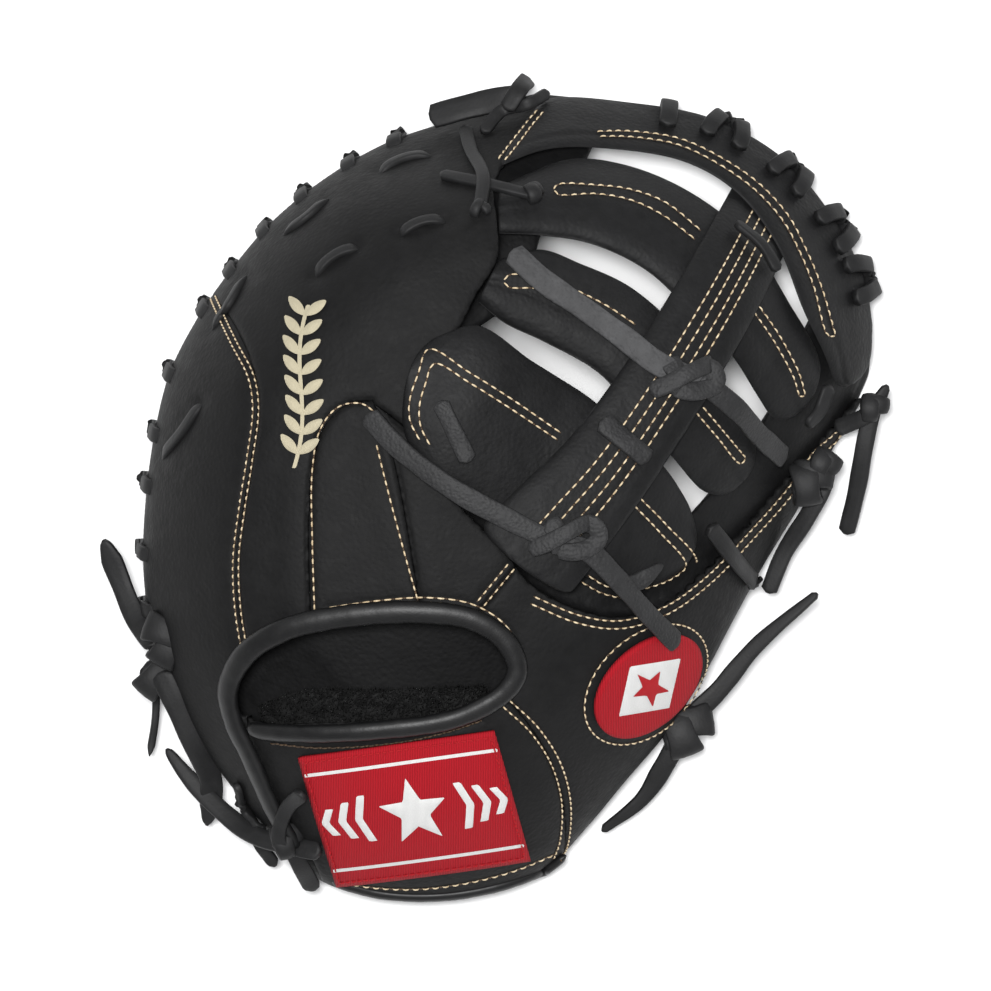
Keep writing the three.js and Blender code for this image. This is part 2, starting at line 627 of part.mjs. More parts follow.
// A padded strap over the back's surface, crowned across its width.
function strap(rows, thick, edgeShare, stations = 11, across = 4) {
  const tips = line(rows.map((row) => row.tip), stations);
  const heels = line(rows.map((row) => row.heel), stations);
  const places = rows.map((row, i) => i);
  const rests = rows.map((row) => row.rest);
  const top = [];
  const bottom = [];
  for (let i = 0; i <= stations; i += 1) {
    const rest = along(places, rests, (i / stations) * (rows.length - 1));
    top.push([]);
    bottom.push([]);
    for (let j = 0; j <= across; j += 1) {
      const t = j / across;
      const p = tips[i].clone().lerp(heels[i], t);
      const swell = edgeShare + (1 - edgeShare) * quarterRound(2 * Math.min(t, 1 - t));
      const under = rest > 0 ? facetHeight(p.x, p.y) : backHeight(p.x, p.y);
      const base = Math.max(under + rest, shelfHeight(p.x, p.y) + 2 * CLEARANCE);
      top[i].push(new THREE.Vector3(p.x, p.y, base + thick * swell));
      bottom[i].push(new THREE.Vector3(p.x, p.y, base));
    }
  }
  return between(top, bottom);
}

// Normal of the back's surface.
function normalAt(x, y) {
  const step = 0.5;
  const slopeX = (backHeight(x + step, y) - backHeight(x - step, y)) / (2 * step);
  const slopeY = (backHeight(x, y + step) - backHeight(x, y - step)) / (2 * step);
  return new THREE.Vector3(-slopeX, -slopeY, 1).normalize();
}

// A point off the back's facets along the surface's normal.
const raised = (x, y, lift) => (
  new THREE.Vector3(x, y, facetHeight(x, y)).addScaledVector(normalAt(x, y), lift));

// Height of the lower face of a piece that lies on the back.
const restHeight = (x, y) => facetHeight(x, y) + (1.6 * CLEARANCE) / normalAt(x, y).z;

// A flat lace through points, its face turned to the normals.
function ribbon(points, normals, width = LACE_WIDTH, thick = LACE_THICK) {
  const top = [];
  const bottom = [];
  points.forEach((p, i) => {
    const before = points[Math.max(0, i - 1)];
    const after = points[Math.min(points.length - 1, i + 1)];
    const tangent = after.clone().sub(before).normalize();
    const side = tangent.clone().cross(normals[i]).normalize();
    const face = side.clone().cross(tangent).normalize();
    const edge = (s, f) => p.clone().addScaledVector(side, (s * width) / 2)
      .addScaledVector(face, (f * thick) / 2);
    top.push([edge(-1, 1), edge(1, 1)]);
    bottom.push([edge(-1, -1), edge(1, -1)]);
  });
  return between(top, bottom);
}

// A rolled binding: half round, lying along a line on the back.
function roll(charted, stations, spare = 0) {
  const points = line(charted, stations);
  const top = [];
  const bottom = [];
  points.forEach((p, i) => {
    const before = points[Math.max(0, i - 1)];
    const after = points[Math.min(points.length - 1, i + 1)];
    const side = new THREE.Vector2(before.y - after.y, after.x - before.x).normalize();
    top.push([]);
    bottom.push([]);
    for (let j = 0; j <= 4; j += 1) {
      const t = j / 4;
      const q = p.clone().addScaledVector(side, (t - 0.5) * (BINDING_WIDTH + 2 * spare));
      const base = restHeight(q.x, q.y);
      const swell = 0.3 + 0.7 * quarterRound(2 * Math.min(t, 1 - t));
      top[i].push(new THREE.Vector3(q.x, q.y, base + BINDING_THICK * swell + spare));
      bottom[i].push(new THREE.Vector3(q.x, q.y, base - spare));
    }
  });
  return between(top, bottom);
}

// Body: the back's leather shell and the palm under it.
const closed = (charted, count = charted.length * 2) => line(charted, count, true);

// An outline moved outward all round.
function grown(outline, by) {
  const turn = Math.sign(windingOf(outline));
  return outline.map((p, i) => {
    const before = outline[(i + outline.length - 1) % outline.length];
    const after = outline[(i + 1) % outline.length];
    const outward = new THREE.Vector2(after.y - before.y, before.x - after.x).normalize();
    return p.clone().addScaledVector(outward, by * turn);
  });
}

const backRing = ringPoints(0);
const outerDome = dome(0, (x, y) => backHeight(x, y));
const innerDome = dome(LEATHER, (x, y) => backHeight(x, y, LEATHER));
const backOpening = prism(closed(BACK_WEB_OPENING));
const palmOpening = prism(closed(PALM_WEB_OPENING));
const wristOpening = prism(closed(WRIST_OPENING));
const RIM_SPREAD = 12;

// The back's leather ends at the middle of the rim, where the palm's wall comes out to meet it.
const seamLevel = (x, y) => rimLift(x, y) + RIM_TOP / 2;
const seamDome = dome(-RIM_SPREAD, seamLevel, [1, 0.8]);
const floorDome = dome(-RIM_SPREAD, rimLift, [1, 0.8]);

function makeBack() {
  let shell = outerDome.subtract(innerDome).subtract(seamDome).subtract(backOpening);
  shell = shell.subtract(wristOpening);
  for (const seam of Object.values(SEAMS)) shell = shell.subtract(seamWall(seam));
  return shell.decompose();
}

function panelAt(pieces, inside) {
  const spot = at(inside);
  const corners = [[-1, -1], [1, -1], [1, 1], [-1, 1]];
  const probe = prism(corners.map(([x, y]) => new THREE.Vector2(spot.x + x, spot.y + y)));
  return pieces.find((piece) => piece.intersect(probe).volume() > 0);
}

function makePalm() {
  const underBack = LEATHER + CLEARANCE;
  const upper = dome(underBack, (x, y) => backHeight(x, y, underBack));
  const lower = dome(0, (x, y) => seamLevel(x, y) - CLEARANCE, [1, 0.8]);
  const hollowTop = dome(underBack + PALM_WALL, () => SKY / 2, [1]);
  const floor = dome(0, palmFloorHeight, COARSE_SHARES);
  const webWall = prism(grown(closed(BACK_WEB_OPENING), PALM_WALL));
  const hollow = hollowTop.subtract(floor).subtract(webWall);
  const shelf = dome(-RIM_SPREAD, () => SKY / 2, [1])
    .subtract(dome(0, shelfHeight))
    .intersect(prism(grown(closed(BACK_WEB_OPENING), CLEARANCE)));
  return upper.add(lower).subtract(hollow).subtract(shelf).subtract(palmOpening)
    .subtract(dome(RIM_WIDTH, pocketHeight, COARSE_SHARES)).subtract(floorDome);
}

function makePile() {
  const edges = [line(PILE_EDGE, 8), line(PILE_UNDER, 8)];
  const top = [];
  const bottom = [];
  edges[0].forEach((p, i) => {
    const row = [0, 0.5, 1].map((t) => p.clone().lerp(edges[1][i], t));
    const under = (q) => backHeight(q.x, q.y, LEATHER) - 3 * CLEARANCE;
    top.push(row.map((q) => new THREE.Vector3(q.x, q.y, under(q))));
    bottom.push(row.map((q) => new THREE.Vector3(q.x, q.y, under(q) - PILE_THICK)));
  });
  return between(top, bottom);
}

// A patch with a flat lower face on the back's surface.
function patch({ middle, wide, long, turn, lean }, round, spare = 0) {
  const centre = at(middle);
  const angle = THREE.MathUtils.degToRad(turn);
  const rows = 6;
  const top = [];
  const bottom = [];
  for (let i = 0; i <= rows; i += 1) {
    top.push([]);
    bottom.push([]);
    for (let j = 0; j <= rows; j += 1) {
      let [u, v] = [(2 * i) / rows - 1, (2 * j) / rows - 1];
      if (round) [u, v] = [u * Math.sqrt(1 - (v * v) / 2), v * Math.sqrt(1 - (u * u) / 2)];
      const up = v * (long / 2 + spare);
      const p = new THREE.Vector2(u * (wide / 2 + spare) - lean * up, up);
      p.rotateAround(new THREE.Vector2(0, 0), angle).add(centre);
      const base = restHeight(p.x, p.y);
      top[i].push(new THREE.Vector3(p.x, p.y, base + PATCH_THICK + spare));
      bottom[i].push(new THREE.Vector3(p.x, p.y, base - spare));
    }
  }
  return between(top, bottom);
}

// The largest body of a solid, without the crumbs that a cut leaves.
function largest(made) {
  return made.decompose().reduce((a, b) => (b.volume() > a.volume() ? b : a));
}

// A charted place as a point. One with a level is kept out of the rim.
function placed({ at: place, lift, level }) {
  const p = at(place);
  if (lift !== undefined) return raised(p.x, p.y, lift);
  const free = LACE_WIDTH / 2 + 2 * CLEARANCE;
  const z = (level * MITT_DEPTH) / 100;
  const near = rimLine.reduce((a, b) => (b.distanceTo(p) < a.distanceTo(p) ? b : a));
  const inside = THREE.MathUtils.euclideanModulo(windingAround(p), 2) > 0;
  const away = p.clone().sub(near).multiplyScalar(inside ? -1 : 1).normalize();
  const gap = near.distanceTo(p) * (inside ? -1 : 1);
  if (gap < free && z < rimTopAt(near)) p.copy(near).addScaledVector(away, free);
  return new THREE.Vector3(p.x, p.y, z);
}

// How often the rim's outline crosses a line to the right of a point.
function windingAround(p) {
  return rimLine.filter((q, i) => {
    const r = rimLine[(i + 1) % rimLine.length];
    if (q.y > p.y === r.y > p.y) return false;
    return p.x < q.x + ((r.x - q.x) * (p.y - q.y)) / (r.y - q.y);
  }).length;
}

const rimTopAt = (p) => RIM_TOP + rimLift(p.x, p.y) + 3 * LACE_WIDTH;

// A lace along its rows. On the back it faces out, and a free end faces up.
function strand(rows, spare = 0) {
  const up = new THREE.Vector3(0, 0, 1);
  const curve = new THREE.CatmullRomCurve3(rows.map(placed), false, "centripetal");
  const smooth = curve.getSpacedPoints(Math.max(4, rows.length * 2 - 2));
  const onBack = rows.every((row) => row.lift !== undefined);
  const normals = smooth.map((p) => (onBack ? normalAt(p.x, p.y) : up));
  return ribbon(smooth, normals, LACE_WIDTH + 2 * spare, LACE_THICK + 2 * spare);
}

// A knot: a flattened ball of leather.
function knot(one, spare = 0) {
  const geometry = new THREE.SphereGeometry(0.5, 8, 6);
  geometry.scale(one.long + 2 * spare, one.wide + 2 * spare, one.tall + 2 * spare);
  geometry.rotateZ(THREE.MathUtils.degToRad(one.turn));
  geometry.translate(...placed(one));
  return solidOf(geometry);
}

function lace({ strands, knots = [] }, spare = 0) {
  const parts = [...strands.map((rows) => strand(rows, spare)), ...knots.map((k) => knot(k, spare))];
  return parts.reduce((a, b) => a.add(b));
}

function padStitch({ from, to }) {
  const middle = [(from[0] + to[0]) / 2, (from[1] + to[1]) / 2];
  const lifts = [ON_BACK, ON_BACK + 0.8, ON_BACK];
  return { strands: [[from, middle, to].map((place, i) => ({ at: place, lift: lifts[i] }))] };
}

// One turn of the whip lacing, from the back over the rim and down its side.
function loop(share, topLift, swell = 0) {
  const count = rimLine.length;
  const i = Math.round(share * count) % count;
  const p = rimLine[i];
  const q = rimLine[(i + 1) % count];
  const tangent = new THREE.Vector2(q.x - p.x, q.y - p.y).normalize();
  const outward = new THREE.Vector2(-tangent.y, tangent.x).multiplyScalar(
    -Math.sign(windingOf(rimLine)),
  );
  const rise = LACE_THICK / 2 + CLEARANCE + 0.2;
  const stops = [-LOOP_REACH, -LOOP_REACH / 2, -LOOP_REACH / 5, rise, rise, rise];
  const falls = [0, 0, 0, 1, RIM_TOP * 0.4, RIM_TOP * 0.75];
  const points = [];
  const normals = [];
  stops.forEach((stop, k) => {
    const slant = (k / (stops.length - 1) - 0.5) * LOOP_SLANT;
    const x = p.x + outward.x * stop + tangent.x * slant;
    const y = p.y + outward.y * stop + tangent.y * slant;
    const outside = stop > 0;
    const z = RIM_TOP + rimLift(x, y) - falls[k];
    const lift = topLift + swell * quarterRound(-stop / BAND_REACH);
    points.push(outside ? new THREE.Vector3(x, y, z) : raised(x, y, lift));
    normals.push(outside ? new THREE.Vector3(outward.x, outward.y, 0) : normalAt(x, y));
  });
  return ribbon(points, normals);
}

const colours = {
  leather: 0x1c1c1e,
  lace: 0x262627,
  label: 0xb3202c,
  pile: 0x0d0d0e,
};
const finish = (slot, roughness) => (
  new THREE.MeshStandardMaterial({ color: colours[slot], roughness, metalness: 0 }));
const materials = {
  leather: finish("leather", 0.6),
  lace: finish("lace", 0.75),
  label: finish("label", 0.7),
  pile: finish("pile", 1),
};

const group = new THREE.Group();
function add(name, made, slot) {
  const mesh = new THREE.Mesh(geometryOf(made), materials[slot]);
  mesh.name = name;
  group.add(mesh);
}

const backPieces = makeBack();
for (const [name, inside] of Object.entries(PANELS)) {
  add(name, panelAt(backPieces, inside), "leather");
}
add("palm", makePalm(), "leather");
for (const [name, rows] of Object.entries(BARS)) add(name, strap(rows, BAR_THICK, 0.3), "leather");
add("web_post", strap(POST, POST_THICK, 0.4), "leather");
add("web_band", strap(BAND, BAND_THICK, 0.5, 16), "leather");
add("strap_pile", makePile(), "pile");

// Pieces that lie on the back. Each is cut back from the ones before it, with a clearance.
const taken = [outerDome, strap(BAND, BAND_THICK + CLEARANCE, 0.5, 16)];
taken.push(strap(POST, POST_THICK + CLEARANCE, 0.4));
function lay(name, make, slot) {
  let made = make(0);
  for (const other of taken) made = made.subtract(other);
  add(name, largest(made), slot);
  taken.push(make(CLEARANCE));
}
for (const [name, charted] of Object.entries(BINDINGS)) {
  lay(name, (spare) => roll(charted, charted.length * 2, spare), "leather");
}
lay("label_patch", (spare) => patch(LABEL, false, spare), "label");
lay("oval_patch", (spare) => patch(OVAL, true, spare), "label");
for (const [name, one] of Object.entries(LACES)) lay(name, (spare) => lace(one, spare), "lace");
PAD_STITCHES.forEach((one, i) => (
  lay(`pad_stitch_${i + 1}`, (spare) => lace(padStitch(one), spare), "lace")));
RIM_LOOPS.forEach((share, i) => lay(`rim_loop_${i + 1}`, () => loop(share, ON_BACK), "lace"));
const onBand = WEB_REST + BAND_THICK / 2 + ON_BACK;
BAND_LOOPS.forEach((share, i) => (
  lay(`band_loop_${i + 1}`, () => loop(share, onBand, BAND_THICK / 2), "lace")));

// The origin moves to the middle of the base.
const box = new THREE.Box3().setFromObject(group);
const middle = box.getCenter(new THREE.Vector3());
for (const mesh of group.children) mesh.geometry.translate(-middle.x, -middle.y, -box.min.z);

export default group;
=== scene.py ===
import math

import bpy
import numpy as np
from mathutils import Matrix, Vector
from mathutils.geometry import delaunay_2d_cdt
from mathutils.kdtree import KDTree


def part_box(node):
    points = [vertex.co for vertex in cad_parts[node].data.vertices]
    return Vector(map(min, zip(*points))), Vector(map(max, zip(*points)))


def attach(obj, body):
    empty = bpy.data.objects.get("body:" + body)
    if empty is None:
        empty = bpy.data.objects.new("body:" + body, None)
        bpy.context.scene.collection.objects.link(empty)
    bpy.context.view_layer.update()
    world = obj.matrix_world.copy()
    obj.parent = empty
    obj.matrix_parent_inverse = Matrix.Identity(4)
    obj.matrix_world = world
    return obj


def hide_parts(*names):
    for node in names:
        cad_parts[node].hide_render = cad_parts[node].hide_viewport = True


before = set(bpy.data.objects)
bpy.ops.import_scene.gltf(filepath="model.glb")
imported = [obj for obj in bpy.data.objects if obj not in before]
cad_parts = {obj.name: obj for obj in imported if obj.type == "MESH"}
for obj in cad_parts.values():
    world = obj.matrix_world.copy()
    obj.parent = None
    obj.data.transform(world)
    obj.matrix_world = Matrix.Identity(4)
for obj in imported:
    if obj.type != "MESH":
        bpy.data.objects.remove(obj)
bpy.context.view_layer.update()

# Sizes in millimetres and turns in degrees, as in the part's source.
MITT_WIDTH = 266
MITT_LENGTH = 295
MITT_DEPTH = 110
LEATHER = 2.1
CLEARANCE = 0.4
RIM_TOP = 17
RIM_WIDTH = 15
RIM_LIFT = 12
EDGE_ROLL = 52
BAR_THICK = 6
POST_THICK = 5
BAND_THICK = 5
SHELF_DROP = 14
LACE_WIDTH = 6.5
LACE_THICK = 2.2
PATCH_THICK = 1.6
PILE_THICK = 7
BINDING_THICK = 5
# Where the rim rests on the floor, and how much of its turn is flat there.
CONTACT_TURN = 20
CONTACT_FLAT = 0.13
# The side of the web slopes in a wedge: its direction, and where the slope begins and is full.
WEB_TURN = math.radians(40)
WEB_SLOPE_FROM = 10
WEB_SLOPE_TO = 95
# Pitch of the back's mesh, and the rounded lip round its openings.
FINE = 1.9
LIP = 2.2
TINY = 1e-9

CHART_WIDE = MITT_WIDTH / 74
CHART_LONG = MITT_LENGTH / 82

RIM_OUTLINE = [
    (4.5, 41.2), (10, 40.6), (15.5, 39.8), (21.5, 38.7), (26.5, 36.2), (31, 32.4), (34.8, 27.8),
    (37.3, 22.5), (38.1, 16.5), (37.2, 11.2), (34.3, 6), (30.5, -0.5), (26.5, -7), (23.5, -12.4),
    (20.5, -18), (17, -23.4), (12.8, -28.4), (9, -33), (5.6, -36.6), (1, -39.3), (-5, -40.6),
    (-12, -40.4), (-17.5, -39), (-22, -36), (-25, -32), (-28, -28), (-31.2, -24), (-33.5, -19.5),
    (-35.2, -14), (-36.1, -7), (-35.9, 0), (-35, 7), (-33.5, 13), (-31, 18), (-27.6, 23),
    (-23, 28.4), (-17.5, 32.8), (-11.5, 36.2), (-5, 38.4), (0, 40),
]
CROWN_ACROSS = [-40, -25, -10, 5, 20, 40]
CROWN = [
    (42, [58, 66, 72, 66, 52, 36]),
    (28, [74, 86, 93, 86, 70, 48]),
    (14, [80, 93, 100, 96, 84, 56]),
    (0, [78, 92, 100, 97, 84, 52]),
    (-14, [70, 86, 93, 90, 76, 46]),
    (-28, [54, 70, 77, 72, 56, 36]),
    (-42, [38, 50, 54, 50, 38, 26]),
]
BACK_WEB_OPENING = [
    (7.5, 47), (4.6, 41), (2, 36), (-0.6, 31.5), (-0.3, 27.5), (-0.3, 23.8), (-2.4, 20.2),
    (-4, 17), (-6.2, 14), (-7.5, 10), (-7, 5), (-4.5, 0), (0, -4.5), (3, -8.3), (7.5, -10.8),
    (12, -11.7), (16.5, -10.4), (20.5, -7.3), (24.5, -3.3), (29, 1.8), (33.5, 6.6), (38, 11.4),
    (46, 16), (46, 47),
]
WRIST_OPENING = [
    (-26.6, -19), (-25.2, -15), (-21.5, -12.4), (-16, -11.2), (-8, -10.7), (-2.6, -11.4),
    (0.6, -13.6), (1.3, -16.6), (-0.4, -19), (-4, -20.7), (-10, -21.7), (-18, -22.1),
    (-23.8, -22.2), (-26, -21.2),
]
SEAMS = {
    "outer": [
        (-32.5, 24.5), (-29.4, 21), (-26.8, 18), (-24.8, 14), (-23.9, 10), (-24.4, 5), (-25.3, 0),
        (-26.2, -6), (-25.9, -11), (-24.6, -17),
    ],
    "tongue_left": [(-18.7, -15), (-18.9, -2), (-18.5, 3), (-17.5, 7), (-15, 9.5), (-12.6, 9.8)],
    "tongue_right": [(-12.6, 9.8), (-11.4, 7.5), (-10, 2), (-8, -10), (-7.5, -15)],
    "hood": [(-12.8, 9.7), (-9.5, 7.2), (-4, 1)],
    "thumb": [(4.5, -2.5), (1.2, -7), (-2, -11.2), (-3.5, -15)],
    "strap_right": [(-1.5, -17), (2, -21.2), (4.5, -25), (6.2, -30), (6.6, -35), (5.4, -41)],
    "strap_left": [(-25.5, -20), (-24.6, -25.5), (-21.8, -31), (-18.8, -36.5), (-17, -42)],
}
PANELS = {
    "outer_panel": (-31, 0),
    "finger_panel": (-15, 22),
    "index_tongue": (-14, 0),
    "hand_panel": (-5, -5),
    "thumb_panel": (14, -18),
    "wrist_strap": (-8, -32),
}

# Straps of the web: each row's edge towards the fingertips, its edge towards the heel, and its
# underside's height above the back.
TOP_REST = CLEARANCE + 0.7
BAR_REST = -CLEARANCE - BAR_THICK - 1
TAB_REST = -BAR_THICK - 1.4
SHELF_REST = CLEARANCE - SHELF_DROP
WEB_REST = -0.6
BARS = {
    "web_bar_top": [
        ((-0.2, 31.2), (-0.1, 26.4), TAB_REST), ((7, 34.1), (4, 26.2), BAR_REST - 0.5),
        ((12.5, 33.6), (9, 25.4), BAR_REST), ((18.8, 31), (14.5, 22.8), BAR_REST),
        ((24.5, 26.6), (19, 18.6), BAR_REST), ((29, 19.8), (22.9, 14.6), BAR_REST - 1),
        ((32, 14.6), (25.6, 10.6), SHELF_REST + 2), ((32.6, 11), (28, 7), SHELF_REST),
    ],
    "web_bar_middle": [
        ((-0.1, 23.8), (-2.2, 19.6), TAB_REST), ((4, 24.8), (0.4, 17.5), BAR_REST - 0.5),
        ((8, 23.4), (4.4, 15.6), BAR_REST), ((12.8, 21.2), (9.8, 12.5), BAR_REST),
        ((17.5, 17.2), (13.8, 7.9), BAR_REST), ((21.5, 12.5), (17.4, 3.9), BAR_REST - 1),
        ((24.6, 8.2), (19.2, 1.8), SHELF_REST + 2), ((26.5, 3.9), (21.8, -0.6), SHELF_REST),
    ],
    "web_bar_lower": [
        ((-8.2, 15), (-9.8, 10), TOP_REST), ((-5.4, 16.4), (-9.2, 6), TOP_REST),
        ((-2.2, 17.2), (-6.8, 2.8), TOP_REST + 0.3), ((3, 13.8), (-1.4, -1.2), BAR_REST + 4),
        ((5.6, 12.2), (0.8, -3.8), BAR_REST), ((9, 10), (4, -5.4), BAR_REST),
        ((13.2, 6.2), (9, -7.8), BAR_REST - 1), ((16.6, 2.9), (13.4, -9), SHELF_REST + 1),
        ((20.2, -2.8), (18.4, -7.6), SHELF_REST),
    ],
}
POST = [
    ((-2.4, -3.2), (6.3, -9.9), TOP_REST), ((-1.2, -1.8), (7.6, -8.4), TOP_REST),
    ((2.4, 1.8), (9.6, -5.8), WEB_REST + 1), ((6.9, 6.2), (14, 0.2), WEB_REST),
    ((12.4, 13.5), (19, 7.8), WEB_REST), ((17.6, 21.6), (24, 16), WEB_REST),
    ((20.6, 26.6), (26.8, 21.2), WEB_REST), ((22.2, 29.4), (28.2, 24), WEB_REST - 0.6),
    ((23.8, 32.2), (29.6, 26.8), WEB_REST - POST_THICK - 1),
]
BAND = [
    ((3.9, 40.4), (-0.6, 33), TOP_REST), ((6.8, 40.7), (4.6, 35), TOP_REST),
    ((12.1, 40.3), (10.6, 35.2), WEB_REST), ((21.2, 38.7), (18.6, 33.9), WEB_REST),
    ((28.7, 34.6), (23.8, 30.8), WEB_REST), ((34.2, 28), (27.8, 25.5), WEB_REST),
    ((37.2, 21.6), (30.4, 19), WEB_REST), ((37.7, 15), (32.8, 14.2), WEB_REST),
    ((36.9, 12.2), (34, 11), WEB_REST),
]
LABEL = {"middle": (-8.5, -30.7), "wide": 70, "long": 49, "turn": 8, "lean": 0.12}
OVAL = {"middle": (14.6, -18.4), "wide": 45, "long": 28.5, "turn": 43, "lean": 0}
BINDINGS = {
    "wrist_binding": [
        (-20.2, -34.6), (-22.4, -30.4), (-24.6, -25.2), (-26.2, -21.6), (-26.6, -18.4),
        (-24.8, -15), (-21, -12.6), (-15, -11.3), (-8, -10.9), (-2.8, -11.6), (0.5, -13.8),
        (1.3, -16.4), (0, -18.8),
    ],
    "strap_binding": [(-23.2, -22.6), (-18.6, -22.8), (-11, -22.4), (-5, -21.5), (-1.6, -20.1)],
}


# Charted places and smooth lines.
def at(place):
    return np.array([place[0] * CHART_WIDE, place[1] * CHART_LONG])


def unit(rows):
    """A vector, or each row of many, scaled to a length of 1."""
    return rows / np.maximum(np.linalg.norm(rows, axis=-1, keepdims=True), TINY)


def leftward(ahead):
    """Flat directions turned a quarter to the left."""
    return np.column_stack([-ahead[:, 1], ahead[:, 0]])


def turns(count):
    """Even turns round a circle, in radians."""
    return np.linspace(0, 2 * math.pi, count, endpoint=False)


def turned(u, v, degrees):
    """Flat places turned about their origin."""
    c, s = math.cos(math.radians(degrees)), math.sin(math.radians(degrees))
    return u * c - v * s, u * s + v * c


def reach_along(line):
    """The distance from a line's start to each of its points."""
    return np.concatenate([[0], np.cumsum(np.linalg.norm(np.diff(line, axis=0), axis=1))])


def hermite(t, start, leaving, end, arriving):
    """A cubic from start to end, with its slope at each."""
    return (
        (2 * t**3 - 3 * t**2 + 1) * start + (t**3 - 2 * t**2 + t) * leaving
        + (3 * t**2 - 2 * t**3) * end + (t**3 - t**2) * arriving
    )


def smooth(points, closed=False, fine=24):
    """A centripetal Catmull-Rom line through points, as many close points."""
    points = np.asarray(points, float)
    if closed:
        padded = np.vstack([points[-1], points, points[:2]])
    else:
        padded = np.vstack([2 * points[0] - points[1], points, 2 * points[-1] - points[-2]])
    found = []
    for i in range(1, len(padded) - 2):
        p0, p1, p2, p3 = padded[i - 1:i + 3]
        steps = [max(np.linalg.norm(b - a), TINY) ** 0.5 for a, b in ((p0, p1), (p1, p2), (p2, p3))]
        m1 = ((p1 - p0) / steps[0] - (p2 - p0) / (steps[0] + steps[1]) + (p2 - p1) / steps[1])
        m2 = ((p2 - p1) / steps[1] - (p3 - p1) / (steps[1] + steps[2]) + (p3 - p2) / steps[2])
        t = np.linspace(0, 1, fine, endpoint=False)[:, None]
        found.append(hermite(t, p1, m1 * steps[1], p2, m2 * steps[1]))
    line = np.vstack(found)
    return line if closed else np.vstack([line, points[-1]])


def evenly(line, count=None, pitch=None, closed=False):
    """Points at even steps along a line."""
    if closed:
        line = np.vstack([line, line[:1]])
    reach = reach_along(line)
    if count is None:
        count = max(2, int(round(reach[-1] / pitch)))
    spots = np.linspace(0, reach[-1], count + 1)
    if closed:
        spots = spots[:-1]
    return np.column_stack([np.interp(spots, reach, line[:, k]) for k in range(line.shape[1])])


def charted(places, closed=False, **how):
    return evenly(smooth([at(p) for p in places], closed), closed=closed, **how)


rim_line = charted(RIM_OUTLINE, closed=True, count=460)


# The back's height field, as in the part's source.
def smoothstep(v, low, high):
    t = np.clip((v - low) / (high - low), 0, 1)
    return t * t * (3 - 2 * t)


def quarter_round(t):
    return np.sqrt(np.maximum(0, 1 - (1 - np.clip(t, 0, 1)) ** 2))


def inside_outline(x, y, outline):
    odd = np.zeros(x.shape, bool)
    for p, q in zip(outline, np.roll(outline, -1, axis=0)):
        crosses = (p[1] > y) != (q[1] > y)
        with np.errstate(divide="ignore", invalid="ignore"):
            left_of = x < p[0] + (q[0] - p[0]) * (y - p[1]) / (q[1] - p[1])
        odd ^= crosses & left_of
    return odd


AT_ONCE = 6000


def rim_distance(x, y):
    """Distance to the rim. Far inside it is evened over many parts of the rim, so no crease forms."""
    x = np.asarray(x, float)
    y = np.asarray(y, float)
    flat_x, flat_y = x.ravel(), y.ravel()
    p = rim_line
    d = np.roll(rim_line, -1, axis=0) - p
    step = np.hypot(d[:, 0], d[:, 1])
    found = np.empty(flat_x.shape)
    for start in range(0, len(flat_x), AT_ONCE):
        part = slice(start, start + AT_ONCE)
        ox = flat_x[part, None] - p[None, :, 0]
        oy = flat_y[part, None] - p[None, :, 1]
        t = np.clip((ox * d[:, 0] + oy * d[:, 1]) / step**2, 0, 1)
        gap = np.hypot(ox - t * d[:, 0], oy - t * d[:, 1])
        nearest = gap.min(1)
        even = (4 / 3 / (step / np.maximum(gap, 1) ** 5).sum(1)) ** 0.25
        found[part] = nearest + (even - nearest) * smoothstep(nearest, 3, 12)
    return found.reshape(x.shape)


def along(stations, values, place):
    """Smooth values at places among rising stations. values has a row for each station."""
    last = len(stations) - 1
    spot = np.clip(place, stations[0], stations[last])
    i = np.clip(np.searchsorted(stations, spot, side="left") - 1, 0, last - 1)
    low = np.take(stations, i)
    t = (spot - low) / (np.take(stations, i + 1) - low)

    def value(k):
        k = np.clip(k, 0, last)
        return np.take(values, k) if np.ndim(values) == 1 else values[k, np.arange(len(spot))]

    v0, v1, v2, v3 = value(i - 1), value(i), value(i + 1), value(i + 2)
    return hermite(t, v1, (v2 - v0) / 2, v2, (v3 - v1) / 2)


def crown(x, y):
    rows = [along(CROWN_ACROSS, np.array(h, float), x / CHART_WIDE) for _, h in reversed(CROWN)]
    stations = [place for place, _ in reversed(CROWN)]
    return along(stations, np.array(rows), y / CHART_LONG) * MITT_DEPTH / 100


def rim_lift(x, y):
    wave = (1 - np.cos(3 * (np.arctan2(y, x) - math.radians(CONTACT_TURN)))) / 2
    return RIM_LIFT * np.maximum(0, wave - CONTACT_FLAT) / (1 - CONTACT_FLAT)


def edge_share(x, y, t):
    reach = x * math.cos(WEB_TURN) + y * math.sin(WEB_TURN)
    flat = smoothstep(reach, WEB_SLOPE_FROM, WEB_SLOPE_TO)
    t = np.clip(t, 0, 1)
    return np.sqrt(1 - (1 - t) ** 2) * (1 - flat) + t * (2 - t) * flat


def back_height(x, y, inset=0.0, drop=0.0):
    x = np.atleast_1d(np.asarray(x, float))
    y = np.atleast_1d(np.asarray(y, float))
    base = RIM_TOP + rim_lift(x, y) - inset
    top = crown(x, y) - inset - drop
    return base + (top - base) * edge_share(x, y, (rim_distance(x, y) - inset) / EDGE_ROLL)


def shelf_height(x, y):
    return back_height(x, y, 0, SHELF_DROP)


def normals_at(x, y, step=0.6):
    slope_x = (back_height(x + step, y) - back_height(x - step, y)) / (2 * step)
    slope_y = (back_height(x, y + step) - back_height(x, y - step)) / (2 * step)
    return unit(np.column_stack([-slope_x, -slope_y, np.ones(len(slope_x))]))


def off_back(x, y, amount):
    """A point this far off the back along its normal, and that normal."""
    normal = normals_at(x, y)[0]
    return np.array([x, y, back_height(x, y)[0]]) + normal * amount, normal


